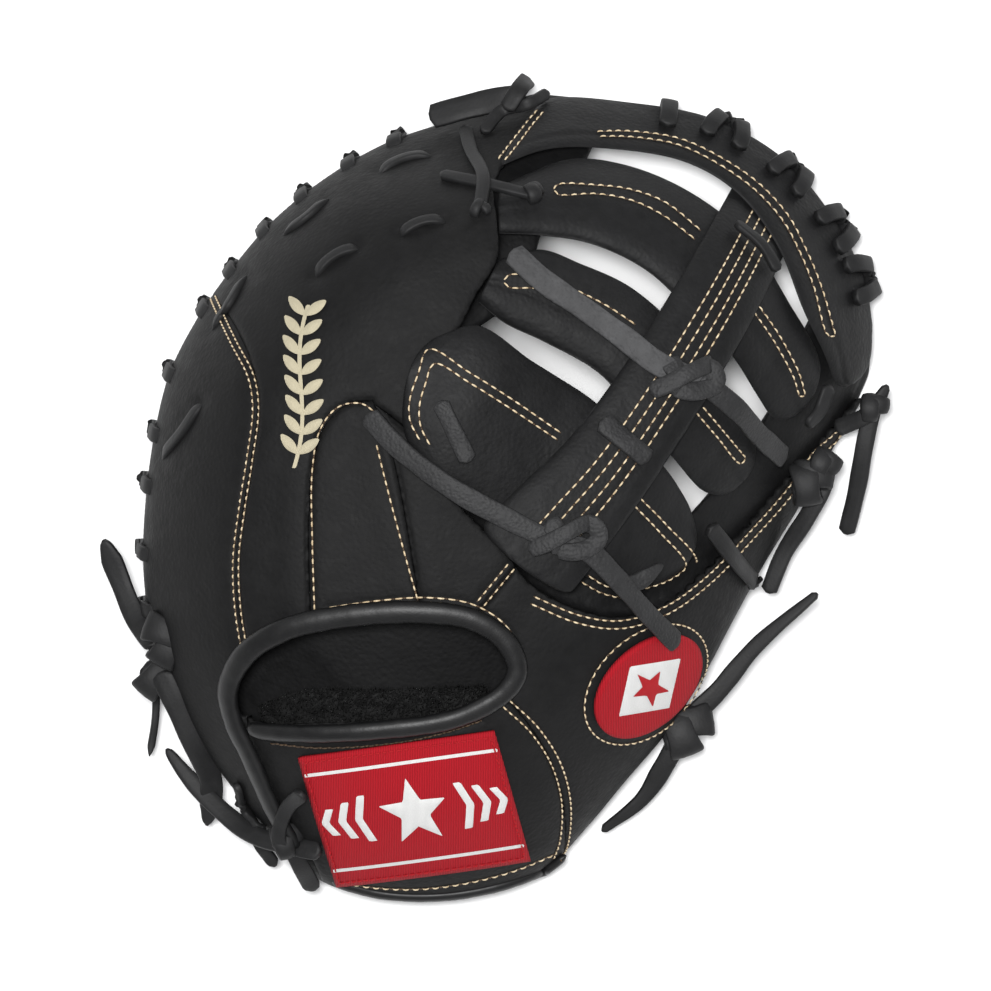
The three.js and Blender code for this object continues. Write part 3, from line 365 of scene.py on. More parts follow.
# The CAD's origin is the middle of its base, so the charts' middle is found from the oval patch.
oval_low, oval_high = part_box("oval_patch")
oval_middle = at(OVAL["middle"])
SHIFT = np.array([
    (oval_low.x + oval_high.x) * 500 - oval_middle[0],
    (oval_low.y + oval_high.y) * 500 - oval_middle[1],
    0.0,
])


# Meshes. Points are in the chart's millimetres until they go into an object.
def to_metres(points):
    return (np.asarray(points, float) + SHIFT) / 1000


def make(name, points, faces, material, slot, replaces=(), sharp=None):
    mesh = bpy.data.meshes.new(name)
    mesh.from_pydata(to_metres(points).tolist(), [], [list(map(int, f)) for f in faces])
    mesh.validate()
    mesh.shade_smooth()
    if sharp:
        mesh.set_sharp_from_angle(angle=math.radians(sharp))
    piece = bpy.data.objects.new(name, mesh)
    bpy.context.scene.collection.objects.link(piece)
    piece.data.materials.append(material)
    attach(piece, "root")
    if replaces:
        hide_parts(*replaces)
    return piece


def applied(piece, kind, **settings):
    """Adds a modifier with these settings and applies it."""
    modifier = piece.modifiers.new(kind, kind)
    for key, value in settings.items():
        setattr(modifier, key, value)
    with bpy.context.temp_override(object=piece, active_object=piece, selected_objects=[piece]):
        bpy.ops.object.modifier_apply(modifier=modifier.name)


def rings_mesh(rings, capped=True, looped=False):
    """Points and faces of a tube through rings of the same number of points."""
    rings = np.asarray(rings)
    rows, sides = rings.shape[:2]
    points = rings.reshape(-1, 3)
    faces = []
    for i in range(rows if looped else rows - 1):
        k = (i + 1) % rows
        for j in range(sides):
            m = (j + 1) % sides
            faces.append((i * sides + j, i * sides + m, k * sides + m, k * sides + j))
    if capped and not looped:
        faces.append(tuple(reversed(range(sides))))
        faces.append(tuple(range((rows - 1) * sides, rows * sides)))
    return points, faces


def swept(line, spread, rise, shape, **how):
    """A tube along a line: each point of a flat shape goes by the spread and the rise there."""
    rings = line[:, None] + shape[:, :1] * spread[:, None] + shape[:, 1:] * rise[:, None]
    return rings_mesh(rings, **how)


def circle(count):
    return np.column_stack([np.cos(turns(count)), np.sin(turns(count))])


def facing_up(points, faces):
    """The faces, all turned over when the first of them faces down."""
    a, b, c = points[list(faces[0][:3])]
    if np.cross(b - a, c - a)[2] < 0:
        return [tuple(reversed(f)) for f in faces]
    return faces


def faces_by_edge(faces):
    """Each edge's faces, as pairs of the face's number and the edge in that face's direction."""
    found = {}
    for k, face in enumerate(faces):
        for side in zip(face, (*face[1:], face[0])):
            found.setdefault(tuple(sorted(side)), []).append((k, side))
    return found


def joined(parts):
    """The points and faces of many parts as those of one."""
    points, faces, base = [], [], 0
    for part_points, part_faces in parts:
        points.append(part_points)
        faces.extend(tuple(i + base for i in f) for f in part_faces)
        base += len(part_points)
    return np.vstack(points), faces


def value_noise(x, y, size, seed):
    """Smooth noise from -1 to 1 with features of about this size."""
    random = np.random.default_rng(seed)
    grid = random.uniform(-1, 1, (64, 64))
    u, v = (x + 400) / size, (y + 400) / size
    i, j = np.floor(u).astype(int), np.floor(v).astype(int)
    s, t = u - i, v - j
    s, t = s * s * (3 - 2 * s), t * t * (3 - 2 * t)

    def corner(p, q):
        return grid[p % 64, q % 64]

    low = corner(i, j) * (1 - s) + corner(i + 1, j) * s
    high = corner(i, j + 1) * (1 - s) + corner(i + 1, j + 1) * s
    return low * (1 - t) + high * t


# Node materials.
def nodes_of(name):
    material = bpy.data.materials.new(name)
    material.use_nodes = True
    tree = material.node_tree
    return material, tree, tree.nodes["Principled BSDF"]


def noise(tree, coords, scale, detail=4.0, rough=0.55):
    node = tree.nodes.new("ShaderNodeTexNoise")
    node.inputs["Scale"].default_value = scale
    node.inputs["Detail"].default_value = detail
    node.inputs["Roughness"].default_value = rough
    tree.links.new(coords, node.inputs["Vector"])
    return node.outputs["Fac"]


def ramp(tree, value, stops):
    node = tree.nodes.new("ShaderNodeValToRGB")
    elements = node.color_ramp.elements
    while len(elements) < len(stops):
        elements.new(0.5)
    for element, (place, colour) in zip(elements, stops):
        element.position = place
        element.color = (*colour, 1)
    tree.links.new(value, node.inputs["Fac"])
    return node.outputs["Color"]


def bump(tree, height, strength, distance, under=None):
    node = tree.nodes.new("ShaderNodeBump")
    node.inputs["Strength"].default_value = strength
    node.inputs["Distance"].default_value = distance
    tree.links.new(height, node.inputs["Height"])
    if under:
        tree.links.new(under, node.inputs["Normal"])
    return node.outputs["Normal"]


def object_coords(tree):
    return tree.nodes.new("ShaderNodeTexCoord").outputs["Object"]


def leather(name, dark, light, rough, grain=620, grain_depth=0.35, crease=1.0, sheen=0.2):
    """Black leather: pebbled grain, soft creases, and patches rubbed a little lighter."""
    material, tree, shader = nodes_of(name)
    coords = object_coords(tree)
    patches = noise(tree, coords, 16, 5, 0.6)
    fine = noise(tree, coords, 210, 5, 0.65)
    tone = ramp(tree, patches, [(0.32, dark), (0.72, light)])
    speck = ramp(tree, fine, [(0.35, (0.72, 0.72, 0.72)), (0.75, (1.25, 1.25, 1.25))])
    mix = tree.nodes.new("ShaderNodeMix")
    mix.data_type = "RGBA"
    mix.blend_type = "MULTIPLY"
    mix.inputs["Factor"].default_value = 0.8
    tree.links.new(tone, mix.inputs["A"])
    tree.links.new(speck, mix.inputs["B"])
    tree.links.new(mix.outputs["Result"], shader.inputs["Base Color"])
    low, high = rough
    shine = ramp(tree, fine, [(0.3, (low,) * 3), (0.75, (high,) * 3)])
    tree.links.new(shine, shader.inputs["Roughness"])
    pebble = tree.nodes.new("ShaderNodeTexVoronoi")
    pebble.feature = "SMOOTH_F1"
    pebble.inputs["Scale"].default_value = grain
    tree.links.new(coords, pebble.inputs["Vector"])
    folds = noise(tree, coords, 55, 6, 0.6)
    first = bump(tree, folds, 0.35 * crease, 0.0016)
    second = bump(tree, pebble.outputs["Distance"], grain_depth, 0.0005, first)
    tree.links.new(bump(tree, noise(tree, coords, 1500, 3), 0.25, 0.0002, second),
                   shader.inputs["Normal"])
    shader.inputs["Specular IOR Level"].default_value = sheen
    return material


shell_leather = leather(
    "shell_leather", (0.0052, 0.0052, 0.0054), (0.0098, 0.0097, 0.0098), (0.6, 0.76),
    crease=0.4, sheen=0.13,
)
web_leather = leather(
    "web_leather", (0.0062, 0.0062, 0.0065), (0.0115, 0.0115, 0.0119), (0.55, 0.7),
    grain=700, crease=0.3, sheen=0.16,
)
palm_leather = leather(
    "palm_leather", (0.004, 0.004, 0.0042), (0.008, 0.008, 0.0083), (0.6, 0.75),
    crease=0.6, sheen=0.15,
)
binding_leather = leather(
    "binding_leather", (0.0045, 0.0045, 0.0047), (0.007, 0.007, 0.0073), (0.42, 0.5),
    grain=900, grain_depth=0.05, crease=0.1, sheen=0.3,
)
lace_leather = leather(
    "lace_leather", (0.0075, 0.0075, 0.0078), (0.0135, 0.0135, 0.014), (0.55, 0.66),
    grain=1100, grain_depth=0.1, crease=0.05, sheen=0.25,
)
rough_lace = leather(
    "rough_lace", (0.026, 0.026, 0.027), (0.075, 0.075, 0.077), (0.7, 0.85),
    grain=760, grain_depth=1.0, crease=0.3, sheen=0.3,
)
dull_lace = leather(
    "dull_lace", (0.012, 0.012, 0.0125), (0.03, 0.03, 0.031), (0.6, 0.72),
    grain=900, grain_depth=0.7, crease=0.2, sheen=0.3,
)


def thread_material(name, low, high):
    material, tree, shader = nodes_of(name)
    coords = object_coords(tree)
    tone = ramp(tree, noise(tree, coords, 700, 3), [(0.3, low), (0.7, high)])
    tree.links.new(tone, shader.inputs["Base Color"])
    strands = noise(tree, coords, 2600, 2)
    tree.links.new(bump(tree, strands, 0.8, 0.0003), shader.inputs["Normal"])
    shader.inputs["Roughness"].default_value = 0.62
    return material


thread = thread_material("tan_thread", (0.4, 0.29, 0.16), (0.72, 0.6, 0.41))
# Near-black thread: painted shade of the stitch holes, and the thread of the strap's top row.
dark_thread_and_hole_shade = thread_material("dark_thread_and_hole_shade", (0.02, 0.011, 0.005), (0.075, 0.042, 0.018))


# Lines of the seams, the openings and the stitching.
def seam_line(name, pitch=1.6):
    return charted(SEAMS[name], pitch=pitch)


def shifted(line, by):
    """A line moved sideways, to the left of its direction for a positive distance."""
    return line + by * leftward(unit(np.gradient(line, axis=0)))


# Stitch rows on the back: name, charted places, how far each row lies to the left of them.
BACK_STITCHES = {
    "outer_low": ([(-28.9, 20.4), (-26.4, 15.6), (-24.6, 12.2), (-24.1, 9), (-24.7, 4), (-25.5, -1),
                   (-26.1, -6), (-25.9, -11), (-25.1, -16)], (-1.1, 1.0)),
    "tongue_left": ([(-18.3, -11), (-18.5, -4), (-18.5, 3), (-17.7, 7), (-15.9, 9.2), (-13.6, 9.5),
                     (-12.4, 8.7)], (0,)),
    "tongue_right": ([(-12.2, 5.6), (-10.8, 0), (-9.2, -6), (-8.1, -9.9)], (0,)),
    "wrist_top": ([(-17, -10.6), (-12, -9.9), (-7, -9.6), (-2.6, -10.3), (0.6, -12.4), (1.9, -15),
                   (1.6, -17.8), (0.4, -19.6)], (0,)),
    "thumb": ([(1.2, -6.4), (-0.6, -8.6), (-2, -10.3)], (-1.4, 1.4)),
    "strap_right": ([(0.5, -20), (3.4, -22.8), (5.6, -26.4), (6.6, -30.4), (6.4, -34.6), (5.8, -36.4)],
                    (-1.6, 1.6)),
    "heel": ([(-16, -38.6), (-12.6, -39.1), (-8, -39.2), (-3, -38.5), (1.6, -37.3), (5.4, -35.8)],
             (0,)),
    "thumb_edge": ([(35.4, 8.6), (33.6, 6.9), (31.4, 5), (28.8, 1.4), (24.4, -3.4), (20.6, -7.2),
                    (16.4, -10.2), (12, -11.6), (8, -11.1), (3.4, -9.2)], (1.1, 3.9)),
    "strap_top": ([(-23, -24.2), (-18, -24.6), (-10, -24), (-5, -22.9), (-1.8, -21.8)], (0,)),
}
OVAL_MARGIN = 3.4
STITCH_PITCH = 3.6
ROW_PITCHES = {"outer_low": 2.8, "tongue_left": 3.25, "tongue_right": 3.25, "wrist_top": 3.9,
               "thumb": 3.1, "strap_right": 3.1, "heel": 3.7, "thumb_edge": 3.3}


def stitch_lines():
    """Every stitch row on the back as a line of points, with a ring round the oval patch."""
    found = {}
    for name, (places, rows) in BACK_STITCHES.items():
        line = charted(places, pitch=1.2)
        for k, by in enumerate(rows):
            found[f"{name}_{k}"] = shifted(line, by)
    ring = turns(120)
    u = np.cos(ring) * (OVAL["wide"] / 2 + OVAL_MARGIN)
    v = np.sin(ring) * (OVAL["long"] / 2 + OVAL_MARGIN)
    round_patch = np.column_stack(turned(u, v, OVAL["turn"])) + at(OVAL["middle"])
    found["oval"] = np.vstack([round_patch, round_patch[:1]])
    return found


back_stitches = stitch_lines()
PAD_STITCHES = [
    ((-12.2, 32.8), (-6.8, 34.6)), ((-21.8, 26.7), (-17.3, 30.3)), ((-18.4, 22.2), (-14, 25.1)),
    ((-29, 17.1), (-25.6, 22.6)), ((-10, 26.2), (-5.4, 27.7)), ((-34.2, 4.2), (-29.8, 9.8)),
]


# Detail on the back's height: seams pulled in, stitch grooves, lace dents, and soft unevenness.
def tree_of(targets):
    tree = KDTree(len(targets))
    for i, (x, y) in enumerate(targets):
        tree.insert((x, y, 0), i)
    tree.balance()
    return tree


def nearness(points, targets):
    """The distance from each point to the nearest target."""
    tree = tree_of(targets)
    return np.array([tree.find((x, y, 0))[2] for x, y in points])


seam_points = np.vstack([seam_line(name) for name in SEAMS])
opening_points = np.vstack([
    charted(BACK_WEB_OPENING, closed=True, pitch=1.2), charted(WRIST_OPENING, closed=True, pitch=1.2),
])
groove_points = np.vstack(list(back_stitches.values()))
pad_ends = np.vstack([[at(a), at(b)] for a, b in PAD_STITCHES])
pad_lines = np.vstack([np.linspace(at(a), at(b), 14) for a, b in PAD_STITCHES])


# How much each seam's upper leather stands over the other, and on which side of the line it is.
LAPS = {"outer": (1.1, 1), "tongue_left": (0.8, -1), "tongue_right": (0.8, -1), "hood": (0.5, 1),
        "thumb": (0.7, 1), "strap_right": (0.8, 1), "strap_left": (0.5, 1)}
LAP_REACH = 12
LAP_FADE = 5
LAP_EDGE = 0.6


def lapped(flat):
    """Height that the laps of the seams add: full at the seam's edge, fading away from it."""
    added = np.zeros(len(flat))
    for name, (rise, side) in LAPS.items():
        line = seam_line(name, 1.0)
        ahead = np.gradient(line, axis=0)
        tree = tree_of(line)
        for k, (x, y) in enumerate(flat):
            _, i, gap = tree.find((x, y, 0))
            if gap < LAP_REACH:
                across = ahead[i, 0] * (y - line[i, 1]) - ahead[i, 1] * (x - line[i, 0])
                if across * side > 0 and 0 < i < len(line) - 1:
                    added[k] += rise * math.exp(-((gap / LAP_FADE) ** 2)) * min(1, gap / LAP_EDGE)
    return added


def pulled_in(gap, depth, spread, start=0):
    """A soft dip that is deepest at a distance from its line."""
    return depth * np.exp(-(((gap - start) / spread) ** 2))


def detail(x, y):
    """What the leather's work adds to the back's smooth height."""
    flat = np.column_stack([x, y])
    seam = nearness(flat, seam_points)
    groove = nearness(flat, groove_points)
    end = nearness(flat, pad_ends)
    pad = nearness(flat, pad_lines)
    opening = nearness(flat, opening_points)
    soft = 0.75 * value_noise(x, y, 34, 3) + 0.35 * value_noise(x, y, 15, 4)
    soft += 0.12 * value_noise(x, y, 6, 5)
    inner = smoothstep(rim_distance(x, y), 0, 16)
    height = soft * inner
    height -= pulled_in(seam, 1.2, 1.1) - pulled_in(seam, 0.5, 5, start=6)
    height -= pulled_in(groove, 0.55, 0.8) + pulled_in(groove, 0.3, 3.2)
    height -= pulled_in(end, 1.6, 2.0) + pulled_in(pad, 1.3, 3.4)
    height -= 1.7 * (1 - quarter_round(opening / LIP))
    return height + lapped(flat)


# The back's leather: one triangulated sheet over the whole outline, parted along its seams. Its
# mesh is finest along the rim, the seams and the grooves, with an even grid between them.
RIM_INSETS = (0.05, 0.2, 0.5, 0.9, 1.5, 2.2, 3.1, 4.2, 5.6)
RIM_CLEAR = 6.4
GROOVE_SIDES = (-1.1, 1.1)
SEAM_SIDES = (-2.2, -1.3, -0.5, 0.5, 1.3, 2.2)
ROW_SHARE = 0.866


def back_sheet():
    constraints = [
        (charted(RIM_OUTLINE, closed=True, pitch=2.0), True),
        (charted(BACK_WEB_OPENING, closed=True, pitch=1.6), True),
        (charted(WRIST_OPENING, closed=True, pitch=1.6), True),
    ]
    constraints += [(seam_line(name), False) for name in SEAMS]
    points, edges = [], []
    for line, is_closed in constraints:
        base = len(points)
        points.extend(line.tolist())
        edges.extend((base + i, base + i + 1) for i in range(len(line) - 1))
        if is_closed:
            edges.append((base + len(line) - 1, base))
    fixed = len(points)
    outline = constraints[0][0]
    ring = evenly(outline, count=420, closed=True)
    inward = leftward(unit(np.roll(ring, -1, axis=0) - np.roll(ring, 1, axis=0)))
    if not inside_outline(*(ring[0] + inward[0])[:, None], outline)[0]:
        inward = -inward
    for inset in RIM_INSETS:
        points.extend((ring + inward * inset).tolist())
    xs = np.arange(-140, 146, FINE)
    ys = np.arange(-152, 152, FINE * ROW_SHARE)
    gx, gy = np.meshgrid(xs, ys)
    gx = gx + np.where(np.arange(len(ys)) % 2, FINE / 2, 0)[:, None]
    gx, gy = gx.ravel(), gy.ravel()
    keep = inside_outline(gx, gy, outline)
    gx, gy = gx[keep], gy[keep]
    grid = np.column_stack([gx, gy])
    clear = nearness(grid, outline) > RIM_CLEAR
    clear &= nearness(grid, np.array(points[:fixed])) > FINE * 0.45
    clear &= nearness(grid, groove_points) > FINE * 0.55
    points.extend(grid[clear].tolist())
    points.extend(groove_points.tolist())
    for by in GROOVE_SIDES:
        for line in back_stitches.values():
            points.extend(shifted(line, by).tolist())
    for line, is_closed in constraints[1:]:
        for by in SEAM_SIDES:
            beside_line = shifted(line, by)
            points.extend(beside_line[inside_outline(*beside_line.T, outline)].tolist())
    found = delaunay_2d_cdt([Vector(p) for p in points], edges, [], 0, 1e-4)
    return np.array([tuple(v) for v in found[0]]), found[1], found[2], found[4]


sheet_points, sheet_edges, sheet_faces, sheet_sources = back_sheet()
walls = {tuple(sorted(e)) for e, source in zip(sheet_edges, sheet_sources) if source}


beside = faces_by_edge(sheet_faces)
centres = np.array([sheet_points[list(f)].mean(0) for f in sheet_faces])


def region(seed):
    """The faces joined to the one nearest the seed, without crossing a seam."""
    start = int(np.argmin(np.linalg.norm(centres - seed, axis=1)))
    reached, queue = {start}, [start]
    while queue:
        face = sheet_faces[queue.pop()]
        for edge in (tuple(sorted(side)) for side in zip(face, (*face[1:], face[0]))):
            if edge in walls:
                continue
            for other, _ in beside[edge]:
                if other not in reached:
                    reached.add(other)
                    queue.append(other)
    return sorted(reached)


sheet_height = back_height(sheet_points[:, 0], sheet_points[:, 1])
sheet_height += detail(sheet_points[:, 0], sheet_points[:, 1])
on_rim = nearness(sheet_points, charted(RIM_OUTLINE, closed=True, pitch=0.1)) < 0.12


def panel(name, seed):
    chosen = region(at(seed))
    used = sorted({i for k in chosen for i in sheet_faces[k]})
    place = {old: new for new, old in enumerate(used)}
    points = np.column_stack([sheet_points[used], sheet_height[used]])
    faces = facing_up(points, [tuple(place[i] for i in sheet_faces[k]) for k in chosen])
    # The leather goes on down the rim, to its seam with the palm.
    borders = [users[0][1] for users in faces_by_edge(faces).values() if len(users) == 1]
    rim_edges = [side for side in borders if all(on_rim[used[i]] for i in side)]
    extra, below = [], {}
    for i in sorted({i for e in rim_edges for i in e}):
        x, y = points[i, :2]
        low = rim_lift(x, y) + RIM_TOP / 2
        drops = np.linspace(points[i, 2], low, 4)[1:]
        below[i] = [len(points) + len(extra) + k for k in range(3)]
        extra.extend([(x, y, z) for z in drops])
    if extra:
        points = np.vstack([points, extra])
        for p, q in rim_edges:
            left, right = [p, *below[p]], [q, *below[q]]
            for k in range(3):
                faces.append((left[k + 1], right[k + 1], right[k], left[k]))
    piece = make(name + "_leather", points, faces, shell_leather, "leather", [name])
    applied(piece, "SOLIDIFY", thickness=LEATHER / 1000, offset=-1)
    return piece


for panel_name, panel_seed in PANELS.items():
    panel(panel_name, panel_seed)


# The padded palm: the CAD's form, evened out, with its edges rounded and its leather softly uneven.
def padded_palm():
    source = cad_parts["palm"]
    piece = source.copy()
    piece.data = source.data.copy()
    bpy.context.scene.collection.objects.link(piece)
    piece.parent = None
    piece.matrix_world = source.matrix_world.copy()
    piece.name = "padded_palm"
    piece.data.transform(piece.matrix_world)
    piece.matrix_world.identity()
    piece.data.materials.clear()
    piece.data.materials.append(palm_leather)
    applied(piece, "REMESH", mode="VOXEL", voxel_size=0.0021)
    applied(piece, "SMOOTH", factor=0.5, iterations=4)
    piece.data.shade_smooth()
    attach(piece, "root")
    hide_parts("palm")
    return piece


padded_palm()


# Straps of the web: folded leather with a fold line along it, thick and rounded at the edges.
def sampled(grid, s, t):
    """Points of a grid at shares s along it and t across it."""
    rows, across = grid.shape[:2]
    u, v = np.clip(s, 0, 1) * (rows - 1), np.clip(t, 0, 1) * (across - 1)
    i = np.minimum(u.astype(int), rows - 2)
    j = np.minimum(v.astype(int), across - 2)
    a, b = (u - i)[:, None], (v - j)[:, None]
    low = grid[i, j] * (1 - b) + grid[i, j + 1] * b
    high = grid[i + 1, j] * (1 - b) + grid[i + 1, j + 1] * b
    return low * (1 - a) + high * a


def strap(name, rows, thick, edge, folds=(), across=26, round_ends=(0, 0)):
    """One strap of the web. edge is its thickness at the edges, as a share."""
    tips = evenly(smooth([at(tip) for tip, _, _ in rows]), count=120)
    heels = evenly(smooth([at(heel) for _, heel, _ in rows]), count=120)
    share = np.linspace(0, 1, 121)
    middle = (tips + heels) / 2
    reach = reach_along(middle)
    slim = np.ones(121)
    for far, size in ((reach, round_ends[0]), (reach[-1] - reach, round_ends[1])):
        if size:
            slim *= 0.3 + 0.7 * quarter_round(far / size)
    tips = middle + (tips - middle) * slim[:, None]
    heels = middle + (heels - middle) * slim[:, None]
    rest = along(np.linspace(0, 1, len(rows)), np.array([r for _, _, r in rows]), share)
    t = (1 - np.cos(np.linspace(0, math.pi, across))) / 2
    x = tips[:, None, 0] * (1 - t) + heels[:, None, 0] * t
    y = tips[:, None, 1] * (1 - t) + heels[:, None, 1] * t
    base = back_height(x.ravel(), y.ravel()) + np.repeat(rest, across)
    base = np.maximum(base, shelf_height(x.ravel(), y.ravel()) + 2 * CLEARANCE).reshape(x.shape)
    wide = np.linalg.norm(tips - heels, axis=1)[:, None]
    swell = edge / 2 + (1 - edge / 2) * quarter_round(2.6 * np.minimum(t, 1 - t))
    top = base + thick * swell[None, :]
    for fold, depth, drop in folds:
        far = (t[None, :] - fold) * wide
        top = top - depth * np.exp(-((far / 0.9) ** 2)) - drop * smoothstep(far, -0.6, 1.2)
    top = top + 0.35 * value_noise(x, y, 13, 21) + 0.16 * value_noise(x, y, 5, 22)
    under = base + thick * edge / 2 * (1 - quarter_round(5 * np.minimum(t, 1 - t)))[None, :]
    upper = np.dstack([x, y, np.maximum(top, under + 0.4)])
    lower = np.dstack([x, y, under])
    rings = np.concatenate([upper, lower[:, ::-1][:, 1:-1]], axis=1)
    points, faces = rings_mesh(rings)
    piece = make(name + "_leather", points, faces, web_leather, "leather", [name])
    return upper


# For each bar: its folds as (share across, depth, step down), and how far its ends are rounded.
FOLDS = {
    "web_bar_top": ([(0.56, 1.2, 0.9)], (0, 9)),
    "web_bar_middle": ([(0.5, 1.2, 0.9)], (0, 11)),
    "web_bar_lower": ([], (4, 9)),
}
tops = {}
for bar, rows in BARS.items():
    folds, ends = FOLDS[bar]
    tops[bar] = strap(bar, rows, BAR_THICK, 0.3, folds, round_ends=ends)
post_folds = [(0.3, 0.5, 0), (0.78, 0.5, 0)]
band_folds = [(0.72, 0.8, 0.3)]
tops["web_post"] = strap("web_post", POST, POST_THICK, 0.4, post_folds, round_ends=(5, 0))
tops["web_band"] = strap("web_band", BAND, BAND_THICK, 0.5, band_folds, round_ends=(4, 5))


# Stitches: short rounded threads laid along a line, a little sunk at their ends.
# A stitch from end to end: share of its length, share of its girth, and rise off the leather.
STITCH_PROFILE = np.array([
    (0, 0.35, -0.25), (0.12, 0.85, 0.1), (0.5, 1, 0.28), (0.88, 0.85, 0.1), (1, 0.35, -0.25),
])
STITCH_SIDES = 6
STITCH_WIDTH = 0.68
STITCH_GAP = 1.2
STITCH_LIFT = 0.25
HOLE_SHADE_WIDTH = 0.75
HOLE_SHADE_DEPTH = 0.28
HOLE_SHADE_OVERLAP = 0.1
stitch_parts = []
dark_stitch_and_hole_shade_parts = []


def stitch(a, b, normal, width=STITCH_WIDTH):
    ahead = unit(b - a)
    side = unit(np.cross(normal, ahead))
    up = np.cross(ahead, side)
    share, girth, rise = STITCH_PROFILE.T[:, :, None]
    half = width / 2 * girth
    line = a + (b - a) * share + up * rise
    return swept(line, half * side, 0.8 * half * up, circle(STITCH_SIDES))


def stitch_along(points, normals, pitch=STITCH_PITCH, gap=STITCH_GAP, into=stitch_parts):
    """Stitches along a line, with a dark sunk piece between each two, painted shade of the holes."""
    reach = reach_along(points)
    count = max(1, int(round(reach[-1] / pitch)))
    ends = np.linspace(0, reach[-1], count + 1)
    step = reach[-1] / count

    def spot(rows, r):
        return np.array([np.interp(r, reach, rows[:, k]) for k in range(3)])

    for end in ends[:-1]:
        a, b = end + gap / 2, end + step - gap / 2
        normal = unit(spot(normals, (a + b) / 2))
        into.append(stitch(spot(points, a), spot(points, b), normal))
        # A dark piece sunk into the gap to the next stitch: painted shade of the stitch hole.
        low = spot(points, b - HOLE_SHADE_OVERLAP)
        high = spot(points, min(b + gap + HOLE_SHADE_OVERLAP, reach[-1]))
        if np.linalg.norm(high - low) > 0.5:
            sunk = normal * HOLE_SHADE_DEPTH
            dark_stitch_and_hole_shade_parts.append(stitch(low - sunk, high - sunk, normal, HOLE_SHADE_WIDTH))


def on_back(line, lift=0.0):
    """Points on the back's leather over a flat line, and the normals there."""
    normals = normals_at(*line.T)
    return np.column_stack([line, back_height(*line.T) + detail(*line.T)]) + normals * lift, normals


for row_name, line in back_stitches.items():
    row_pitch = ROW_PITCHES.get(row_name.rsplit("_", 1)[0], STITCH_PITCH)
    # The row along the strap's top is made all in the dark thread, with the painted hole shade.
    row_thread = dark_stitch_and_hole_shade_parts if row_name.startswith("strap_top") else stitch_parts
    stitch_along(*on_back(evenly(line, pitch=1.0), STITCH_LIFT), row_pitch, into=row_thread)


def nearby_plane(cloud, x, y, count=24):
    """Height and normal of a surface at a place, from the points of it that lie nearest."""
    gaps = np.hypot(cloud[:, 0] - x, cloud[:, 1] - y)
    near = cloud[np.argpartition(gaps, count)[:count]]
    fit = np.column_stack([near[:, 0] - x, near[:, 1] - y, np.ones(count)])
    slope_x, slope_y, z = np.linalg.lstsq(fit, near[:, 2], rcond=0.03)[0]
    return z, unit(np.array([-slope_x, -slope_y, 1.0]))


def stitch_strap(name, places):
    cloud = tops[name].reshape(-1, 3)
    line = evenly(smooth([at(p) for p in places]), pitch=1.0)
    found = [nearby_plane(cloud, x, y) for x, y in line]
    normals = np.array([normal for _, normal in found])
    points = np.column_stack([line, [z for z, _ in found]])
    stitch_along(points + normals * STITCH_LIFT, normals)


# Stitch rows on the web's straps, as charted places.
STRAP_ROWS = {
    "web_bar_top": [
        [(5.3, 30.8), (5.7, 31.3), (9.5, 31.3), (13, 30.9), (16.5, 29.6), (20, 26.8)],
        [(5.3, 30.8), (5.7, 30.3), (9.5, 30.4), (13, 29.8), (16.2, 28.3), (19.4, 25.9)],
        [(25.7, 19.4), (28, 16.2), (30, 12.5), (30.6, 10.5)],
        [(25.1, 18.9), (27.4, 15.7), (29.4, 12.2), (30.1, 10.4), (30.6, 10.5)],
    ],
    "web_bar_middle": [
        [(0.3, 21.6), (0.8, 22.2), (3.5, 22), (7, 20.9), (10.5, 19.2), (13.4, 17.3)],
        [(0.3, 21.6), (0.8, 21), (3.5, 20.9), (6.6, 19.9), (10, 18.2), (12.8, 16.3)],
        [(20, 9.3), (22.2, 6.8), (24.5, 4.2)],
        [(19.3, 8.8), (21.6, 6.2), (24, 3.6), (24.5, 4.2)],
    ],
    "web_bar_lower": [
        [(-7.8, 5.8), (-8.8, 7.8), (-8.8, 10), (-8, 12.5), (-7, 14.8),
         (-3, 12.5), (1, 10), (6, 6.6)],
        [(-6.8, 5.3), (-7.8, 7.3), (-7.9, 9.3), (-7.3, 11.5), (-6.5, 13.4),
         (-3, 11.5), (1, 9), (5.7, 5.9)],
        [(13.7, 0.3), (16.5, -2.5), (19.6, -6.2), (18, -8), (15.8, -9.2),
         (13, -9.7), (10.2, -9.2), (8, -8)],
        [(13.1, -0.4), (15.8, -3.2), (18.5, -6.5), (17.2, -7.7), (15.2, -8.5),
         (13, -8.9), (10.6, -8.5), (8.7, -7.4)],
    ],
    "web_band": [
        [(9.6, 36.9), (13, 37), (18, 36.3), (22, 34.5), (26, 31.8),
         (29, 28.5), (30.6, 25.4), (32.1, 21.8), (33.7, 16.5)],
        [(9.9, 36.4), (13, 36.4), (17.7, 35.7), (21.6, 33.9), (25.5, 31.2), (28.4, 28),
         (30, 25), (31.4, 21.5), (32.9, 16.5), (33.7, 16.5)],
        [(-0.2, 33.9), (1.2, 35.8), (2.7, 37.8), (3.8, 39.2)],
        [(0.4, 33.7), (1.8, 35.5), (3.3, 37.6), (4.4, 39)],
    ],
}
# The post's straight rows, as shares across it.
POST_ROWS = (0.42, 0.5, 0.58, 0.655)

for strap_name, strap_rows in STRAP_ROWS.items():
    for strap_row in strap_rows:
        stitch_strap(strap_name, strap_row)
for across in POST_ROWS:
    row = sampled(tops["web_post"], np.linspace(0.07, 0.985, 160), np.full(160, across))
    stitch_along(row + [0, 0, STITCH_LIFT], normals_at(row[:, 0], row[:, 1]))

make("tan_stitching", *joined(stitch_parts), thread, "leather")
